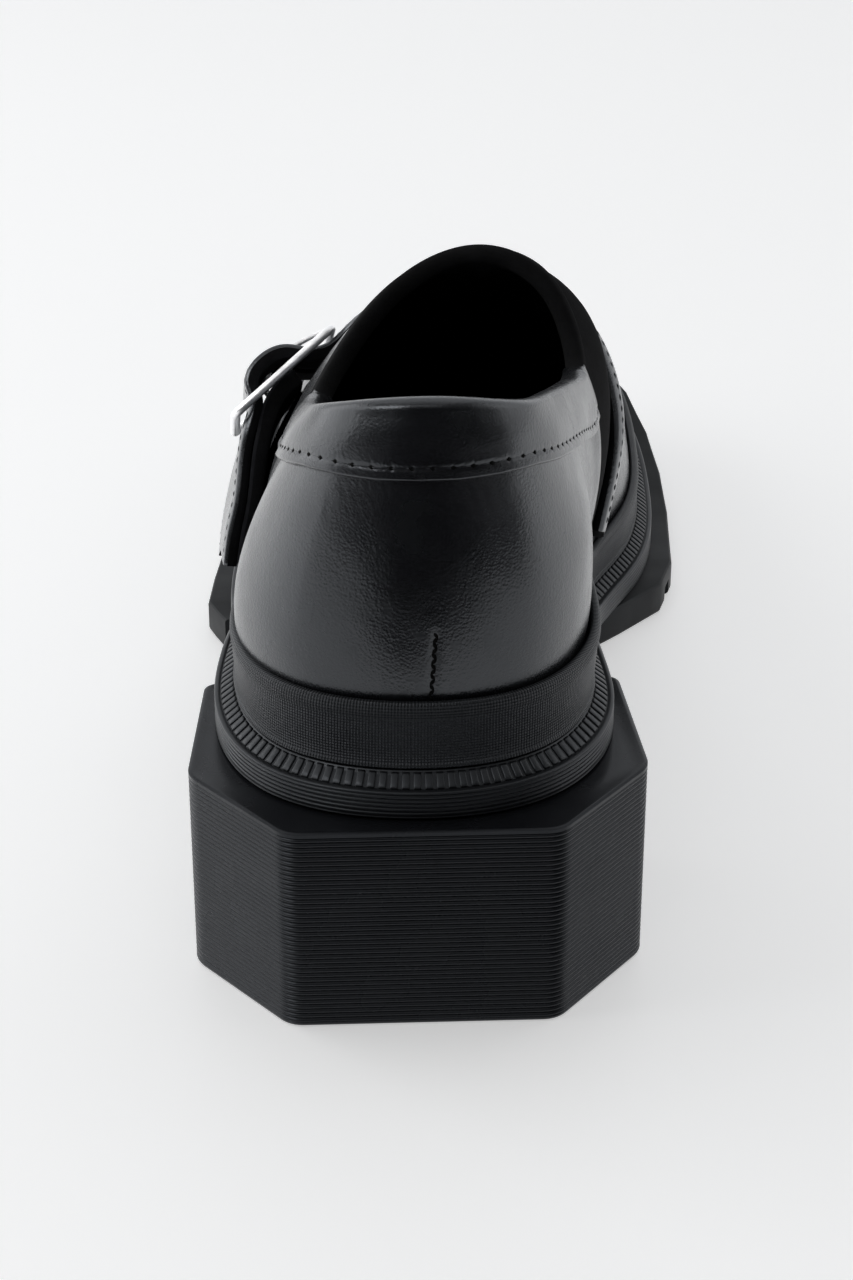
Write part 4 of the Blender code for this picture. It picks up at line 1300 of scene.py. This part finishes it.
# Collar
def build_collar():
    places = np.linspace(-COLLAR_END, COLLAR_END, int(2 * COLLAR_END * COLLAR_STEPS) + 1)
    sections, heights = np.transpose(COLLAR_HEIGHTS)
    tall = np.interp(np.abs(places), sections, heights)
    low = level_below_top(places, tall)
    inside = level_below_top(places, COLLAR_INSIDE)
    top = top_edge(places)
    top_normal = wall_normal(places, 1.0)
    up_wall = unit(top - wall(places, NEAR_TOP))
    stitch_share = COLLAR_STITCH_RISE / tall
    stitch_level = low + (1.0 - low) * stitch_share
    run = run_along(wall(places, stitch_level))
    stitches = int(run[-1] // COLLAR_STITCH_PITCH)
    pitch = run[-1] / stitches
    from_hole = (run / pitch + 0.5) % 1.0 - 0.5
    pucker = np.exp(-((from_hole * pitch / PUCKER_WIDTH) ** 2))
    full = smooth_step(np.minimum(run, run[-1] - run), 0.0, COLLAR_TUCK)

    def on_wall(level, offset):
        offset = np.broadcast_to(offset, len(places))[:, None]
        return wall(places, level) + offset * wall_normal(places, level)

    def skin(share):
        """Offset of the outer face: folded foot, stitch groove, soft swell above."""
        rise = share * tall
        above = rise - COLLAR_STITCH_RISE
        foot = 1.0 - (1.0 - np.minimum(rise / COLLAR_FOLD_RISE, 1.0)) ** 2
        groove = np.exp(-((above / COLLAR_GROOVE_HALF) ** 2))
        near = np.exp(-((above / PUCKER_HALF) ** 2))
        swell = COLLAR_PUFF * np.sin(math.pi * np.clip(above / COLLAR_PUFF_RISE, 0.0, 1.0))
        wave = COLLAR_WAVE * np.sin(run / COLLAR_WAVE_LENGTH + COLLAR_WAVE_SLANT * rise)
        wave *= np.minimum(rise / COLLAR_WAVE_RISE, 1.0)
        thick = COLLAR_THICK * (COLLAR_FOLD_SHARE + (1.0 - COLLAR_FOLD_SHARE) * foot)
        thick *= COLLAR_END_SHARE + (1.0 - COLLAR_END_SHARE) * full
        return GAP + thick - COLLAR_GROOVE * groove + full * (swell + wave) - PUCKER_DEPTH * near * pucker

    back = WALL + GAP
    rings = [on_wall(low, GAP)]
    shares = np.concatenate([np.linspace(*stretch) for stretch in COLLAR_ROWS])
    rings += [on_wall(low + (1.0 - low) * share, skin(share)) for share in shares]
    outer_reach = skin(1.0)
    inner_reach = -(back + COLLAR_THICK)
    roll = COLLAR_ROLL * (COLLAR_ROLL_SHARE + (1.0 - COLLAR_ROLL_SHARE) * full)
    roll += GAP + COLLAR_ROLL_WAVE * np.sin(run / COLLAR_ROLL_LENGTH)
    for angle in np.linspace(0.0, math.pi, COLLAR_ROLL_STEPS):
        reach = 0.5 * (outer_reach + inner_reach) + 0.5 * (outer_reach - inner_reach) * math.cos(angle)
        rings.append(top + reach[:, None] * top_normal + (roll * math.sin(angle))[:, None] * up_wall)
    rings += [on_wall(1.0 + share * (inside - 1.0), inner_reach) for share in COLLAR_INSIDE_ROWS]
    rings.append(on_wall(inside, -back))
    rings.append(top - back * top_normal + GAP * up_wall)
    rings.append(top + GAP * top_normal + GAP * up_wall)
    rings.append(on_wall(0.5 * (1.0 + low), GAP))
    add_piece("collar_band", *capped(np.transpose(rings, (1, 0, 2))), [leather], "collar", "leather")
    line = on_wall(stitch_level, skin(stitch_share))
    offs = wall_normal(places, stitch_level)
    legs = stitch_legs(line, offs, pitch, pitch - 2.0 * HOLE_LONG)
    add_piece("collar_stitches", *thread_legs(legs, **COLLAR_THREAD), [leather], None, "leather")
    # Painted shade: small near-black pads in the lining's colour sit on the stitch holes and stand in for the
    # shade inside them; the leather is not cut
    holes = []
    for spot in pitch * np.arange(1, stitches):
        off = unit(on_line(spot, run, offs))
        here = on_line(spot, run, line) + HOLE_LIFT * off
        way = unit(on_line(spot + HOLE_STEP, run, line) + HOLE_LIFT * off - here)
        side = np.cross(off, way)
        points = [here + HOLE_LONG * way, here + HOLE_HIGH * side]
        points += [here - HOLE_LONG * way, here - HOLE_HIGH * side]
        points += [here + HOLE_CROWN * off, here - HOLE_ROOT * off]
        faces = [(k, (k + 1) % 4, 4) for k in range(4)] + [((k + 1) % 4, k, 5) for k in range(4)]
        holes.append((points, faces))
    add_piece("collar_hole_shade", *joined(holes), [lining], None, "leather")


def build_back_stitch():
    """Zigzag thread over the short back seam."""
    fine = np.linspace(-ZIGZAG_SECTIONS, ZIGZAG_SECTIONS, ZIGZAG_SAMPLES)
    heights = np.arange(SEAM_FOOT, SEAM_TOP, 0.5 * ZIGZAG_PITCH)
    beside = np.where(np.arange(len(heights)) % 2, ZIGZAG_HALF, -ZIGZAG_HALF)
    loops = np.interp(seam_run(heights) + beside, back_run(fine)[::-1], fine[::-1])
    levels = level_at_height(loops, heights)
    spots, offs = wall(loops, levels), wall_normal(loops, levels)
    legs = list(zip(spots[:-1], spots[1:], offs[:-1]))
    add_piece("back_stitch", *thread_legs(legs, **ZIGZAG_THREAD), [thread], None, "leather")


# Straps
def strap_places(side, level, share):
    """Place on the loop where a strap line crosses a level of one side's wall."""
    slope = STRAP_SLOPE_LATERAL if side < 0 else STRAP_SLOPE_MEDIAL

    def loop_of(section):
        return section if side < 0 else 2 * TOE - section

    low, high = STRAP_SEARCH
    for _ in range(PLACE_HALVINGS):
        middle = 0.5 * (low + high)
        point = wall(loop_of(middle), level)
        target = STRAP_REAR_Y + slope * (point[2] - STRAP_REFERENCE_Z) + share * STRAP_WIDTH
        low, high = (middle, high) if point[1] < target else (low, middle)
    return loop_of(0.5 * (low + high))


def strap_point(side, level, share, lift):
    place = strap_places(side, level, share)
    return wall(place, level) + lift * wall_normal(place, level)


def buckle_frame():
    """Low end of the frame's middle line, and directions along the strap, across it and off the shoe."""
    low, top = np.array(BUCKLE_LOW), np.array(BUCKLE_TOP)
    along = unit(top - low)
    across = np.array(BUCKLE_ACROSS)
    across = unit(across - np.dot(across, along) * along)
    return low + BUCKLE_HALF * across, along, across, np.cross(along, across)


def in_frame(position, across, height):
    origin, along_axis, across_axis, off_axis = buckle_frame()
    return origin + position * along_axis + across * across_axis + height * off_axis


def strap_band(name, rows_of_share, roll_by_row, node, face_material, facing, hole=None):
    """Leather band whose edges roll down by an amount for each row; facing turns its outer face outwards."""
    inner_count = (STRAP_COLUMNS - 2 * len(STRAP_EDGE_SHARES)) // 2
    inner_shares = np.linspace(STRAP_INNER_START, 0.5 - PRONG_HOLE_HALF, inner_count)
    half_shares = np.concatenate([STRAP_EDGE_SHARES, inner_shares])
    shares = np.concatenate([half_shares, 1.0 - half_shares[::-1]])
    curves = [curve_through(rows_of_share(share), False) for share in shares]
    rows = len(roll_by_row)
    fine = np.linspace(0.0, rows - 1.0, STRAP_FINE_STEPS * rows)
    run = run_along(curves[len(curves) // 2](fine))
    count = int(round(run[-1] / STRAP_ROW_STEP)) + 1
    distance = np.linspace(0.0, run[-1], count)
    places = np.interp(distance, run, fine)
    sheet = np.stack([curve(places) for curve in curves], 1)
    normals = facing * unit(np.cross(np.gradient(sheet, axis=0), np.gradient(sheet, axis=1)))
    from_edge = np.minimum(shares, 1.0 - shares) * STRAP_WIDTH
    rounding = 1.0 - np.clip(1.0 - from_edge / STRAP_EDGE_ROUND, 0.0, 1.0) ** 2
    half = 0.5 * STRAP_THICK * (STRAP_EDGE_THICK + (1.0 - STRAP_EDGE_THICK) * np.sqrt(rounding))
    roll_share = 1.0 - np.sin(0.5 * math.pi * np.minimum(from_edge / STRAP_ROLL_WIDTH, 1.0))
    roll = np.interp(places, np.arange(rows), roll_by_row)[:, None] * roll_share
    near_stitch = np.exp(-(((from_edge - STRAP_STITCH_INSET) / STRAP_GROOVE_HALF) ** 2))
    pucker = 0.5 + 0.5 * np.cos(math.tau * distance / STRAP_STITCH_PITCH)[:, None]
    outer_lift = half[None] - roll - near_stitch[None] * (STRAP_GROOVE + STRAP_PUCKER * pucker)
    keep = np.ones((count - 1, len(shares) - 1), bool)
    if hole is not None:
        first, last = hole
        keep[(places[:-1] >= first) & (places[1:] <= last), len(shares) // 2 - 1] = False
    faces = grid_faces(count, len(shares))[0].reshape(count - 1, len(shares) - 1, 4)[keep]
    faces = [tuple(face) for face in faces.tolist()]
    outer = sheet + outer_lift[..., None] * normals
    inner = sheet - (half + STRAP_INNER_PAD)[None, :, None] * normals
    points, closed = thicken(faces, outer.reshape(-1, 3), inner.reshape(-1, 3))
    face_slots = [0] * len(faces) + [1] * (len(closed) - len(faces))
    add_piece(name, points, closed, [face_material, suede], node, "strap_leather", face_slots=face_slots)
    return outer, normals, shares


def strap_stitches(outer, normals, shares):
    """Running stitch beside both edges of the strap's outer face."""
    rows = slice(STRAP_STITCH_SKIP, -STRAP_STITCH_SKIP)
    legs = []
    for inset in (STRAP_STITCH_INSET, STRAP_WIDTH - STRAP_STITCH_INSET):
        column = int(np.argmin(np.abs(shares - inset / STRAP_WIDTH)))
        line, offs = outer[rows, column], normals[rows, column]
        legs += stitch_legs(line, offs, STRAP_STITCH_PITCH, STRAP_STITCH_LENGTH)
    add_piece("strap_stitches", *thread_legs(legs, **STRAP_THREAD), [strap_leather], None, "strap_leather")


def build_straps():
    samples = np.linspace(0.0, 1.0, STRAP_SAMPLES)
    medial = []
    for level, lift in STRAP_MEDIAL:
        medial.append(np.polyfit(samples, [strap_point(1, level, share, lift) for share in samples], 2))

    def strap_rows(share):
        across = (share - 0.5) * STRAP_WIDTH
        rows = [bend * share**2 + slope * share + start for bend, slope, start in medial]
        rows += [strap_point(-1, level, share, lift) for level, lift in STRAP_LATERAL]
        rows += [in_frame(position, across, height) for position, height in STRAP_LOOP]
        return rows + [strap_point(-1, level, share, lift) for level, lift in TAIL]

    def chape_rows(share):
        across = (share - 0.5) * STRAP_WIDTH
        rows = [strap_point(-1, level, share, lift) for level, lift in CHAPE]
        return rows + [in_frame(position, across, height) for position, height in CHAPE_LOOP]

    plain = len(STRAP_LATERAL) + len(STRAP_LOOP) - len(STRAP_ROLL_LOOP_END)
    roll = [*STRAP_ROLL_MEDIAL, *[STRAP_ROLL_PLAIN] * plain, *STRAP_ROLL_LOOP_END, *STRAP_ROLL_TAIL]
    backwards = [-position for position, _ in STRAP_LOOP]
    spots = len(STRAP_MEDIAL) + len(STRAP_LATERAL) + np.arange(len(STRAP_LOOP))
    hole = np.interp((-PRONG_HOLE_HIGH, -PRONG_HOLE_LOW), backwards, spots)
    strap_stitches(*strap_band("strap_band", strap_rows, roll, "strap", strap_leather, -1.0, hole))
    strap_band("chape_band", chape_rows, CHAPE_ROLL, "chape", strap_suede, 1.0)


# Buckle
def bar_rings(path, sides_of, offs, half_side, half_off):
    """Rings of a rounded bar along a path; sides_of and offs are its cross directions at each point."""
    rings = []
    for angle in math.tau * np.arange(BAR_SIDES) / BAR_SIDES:
        rings.append(path + half_side * math.cos(angle) * sides_of + half_off * math.sin(angle) * offs)
    return np.transpose(rings, (1, 0, 2))


def build_buckle():
    _, along, across, off = buckle_frame()
    length = math.dist(BUCKLE_LOW, BUCKLE_TOP)
    quarter = np.linspace(0.0, 0.5 * math.pi, BUCKLE_CORNER_STEPS)
    path = []
    for in_along, in_across in ((1, 1), (-1, 1), (-1, -1), (1, -1)):
        end = 0.0 if in_along > 0 else length
        for angle in quarter if in_along == in_across else quarter[::-1]:
            position = end + in_along * BUCKLE_CORNER * (1.0 - math.cos(angle))
            spot = in_across * (BUCKLE_CORNER * (1.0 - math.sin(angle)) - BUCKLE_HALF)
            path.append(in_frame(position, spot, 0.0))
    path = np.array(path)
    way = unit(np.roll(path, -1, 0) - np.roll(path, 1, 0))
    frame_rings = bar_rings(path, np.cross(off, way), off, 0.5 * BUCKLE_BAR, 0.5 * BUCKLE_THICK)
    frame_faces = grid_faces(len(path), BAR_SIDES, wrap_rows=True, wrap_columns=True)[0].tolist()
    spots = np.linspace(-BUCKLE_HALF, BUCKLE_HALF, BUCKLE_BAR_STEPS)
    bar = np.array([in_frame(BUCKLE_MIDDLE, spot, 0.0) for spot in spots])
    bar_half, bar_half_thick = 0.5 * BUCKLE_BAR_SHARE * BUCKLE_BAR, 0.5 * BUCKLE_BAR_SHARE * BUCKLE_THICK
    middle_bar = capped(bar_rings(bar, along, off, bar_half, bar_half_thick))
    solids = [(frame_rings.reshape(-1, 3), frame_faces), middle_bar]
    add_piece("buckle_frame", *joined(solids), [metal], "buckle", "metal")
    curve = curve_through([(position, height, 0.0) for position, height in PRONG_PATH], False)
    fine = curve(np.linspace(0.0, len(PRONG_PATH) - 1.0, PRONG_STEPS))
    path = np.array([in_frame(position, 0.0, height) for position, height, _ in fine])
    way = unit(np.gradient(path, axis=0))
    steps, sizes = np.transpose(PRONG_TAPER)
    radius = PRONG_RADIUS * np.interp(np.arange(PRONG_STEPS), steps, sizes)[:, None]
    pin = capped(bar_rings(path, across, np.cross(way, across), radius, radius))
    add_piece("buckle_pin", *pin, [metal], "prong", "metal")


# Floor, light and camera
def sheet(name, corners, height, material):
    """Flat stage mesh through its corners in plan, in metres."""
    mesh = bpy.data.meshes.new(name)
    mesh.from_pydata([(x, y, height) for x, y in corners], [], [tuple(range(len(corners)))])
    mesh.materials.append(material)
    return linked(name, mesh)


def build_stage():
    corners = [(x * FLOOR_HALF, y * FLOOR_HALF) for x, y in ((-1, -1), (1, -1), (1, 1), (-1, 1))]
    floor = sheet("floor", corners, 0.0, pale_floor)
    card = sheet("dark_card", CARD_OUTLINE, CARD_LIFT, black_card)
    card.visible_camera = card.visible_diffuse = card.visible_shadow = card.visible_transmission = False
    world = bpy.data.worlds.new("studio")
    bpy.context.scene.world = world
    world.use_nodes = True
    tree = world.node_tree
    direction = tree.nodes.new("ShaderNodeTexCoord").outputs["Generated"]
    forward = add_node(tree, "ShaderNodeSeparateXYZ", {"Vector": direction}).outputs["Y"]
    strength = between(tree, forward, WORLD_STRENGTH, WORLD_FROM)
    fill(tree, tree.nodes["Background"], {"Color": WORLD_COLOUR, "Strength": strength})
    for name, place, aim, width, height, power, lights_floor in LIGHTS:
        lamp = bpy.data.lights.new(name, "AREA")
        lamp.shape = "RECTANGLE"
        lamp.size, lamp.size_y, lamp.energy = width, height, power
        box = linked(name, lamp)
        box.location = place
        box.visible_diffuse = lights_floor
        x, y, z = unit(np.array(aim) - np.array(place))
        box.rotation_euler = (math.acos(-z), 0.0, math.atan2(y, x) - 0.5 * math.pi)


def build_camera():
    lens = bpy.data.cameras.new("camera")
    lens.sensor_fit = "VERTICAL"
    lens.sensor_height = CAMERA_SENSOR
    lens.lens = CAMERA_LENS
    camera = linked("camera", lens)
    across, back = CAMERA_BACK * math.sin(CAMERA_TURN), -CAMERA_BACK * math.cos(CAMERA_TURN)
    camera.location = ((np.array([across, back, CAMERA_HEIGHT]) - SHIFT) * MM).tolist()
    camera.rotation_euler = (0.5 * math.pi - CAMERA_PITCH, 0.0, CAMERA_TURN)
    bpy.context.scene.camera = camera
    bpy.context.scene.view_settings.view_transform = "Standard"


build_heel()
build_outsole()
build_welt()
build_teeth()
build_rand()
build_insole()
build_upper()
build_tongue_edge()
build_collar()
build_back_stitch()
build_straps()
build_buckle()
build_stage()
build_camera()
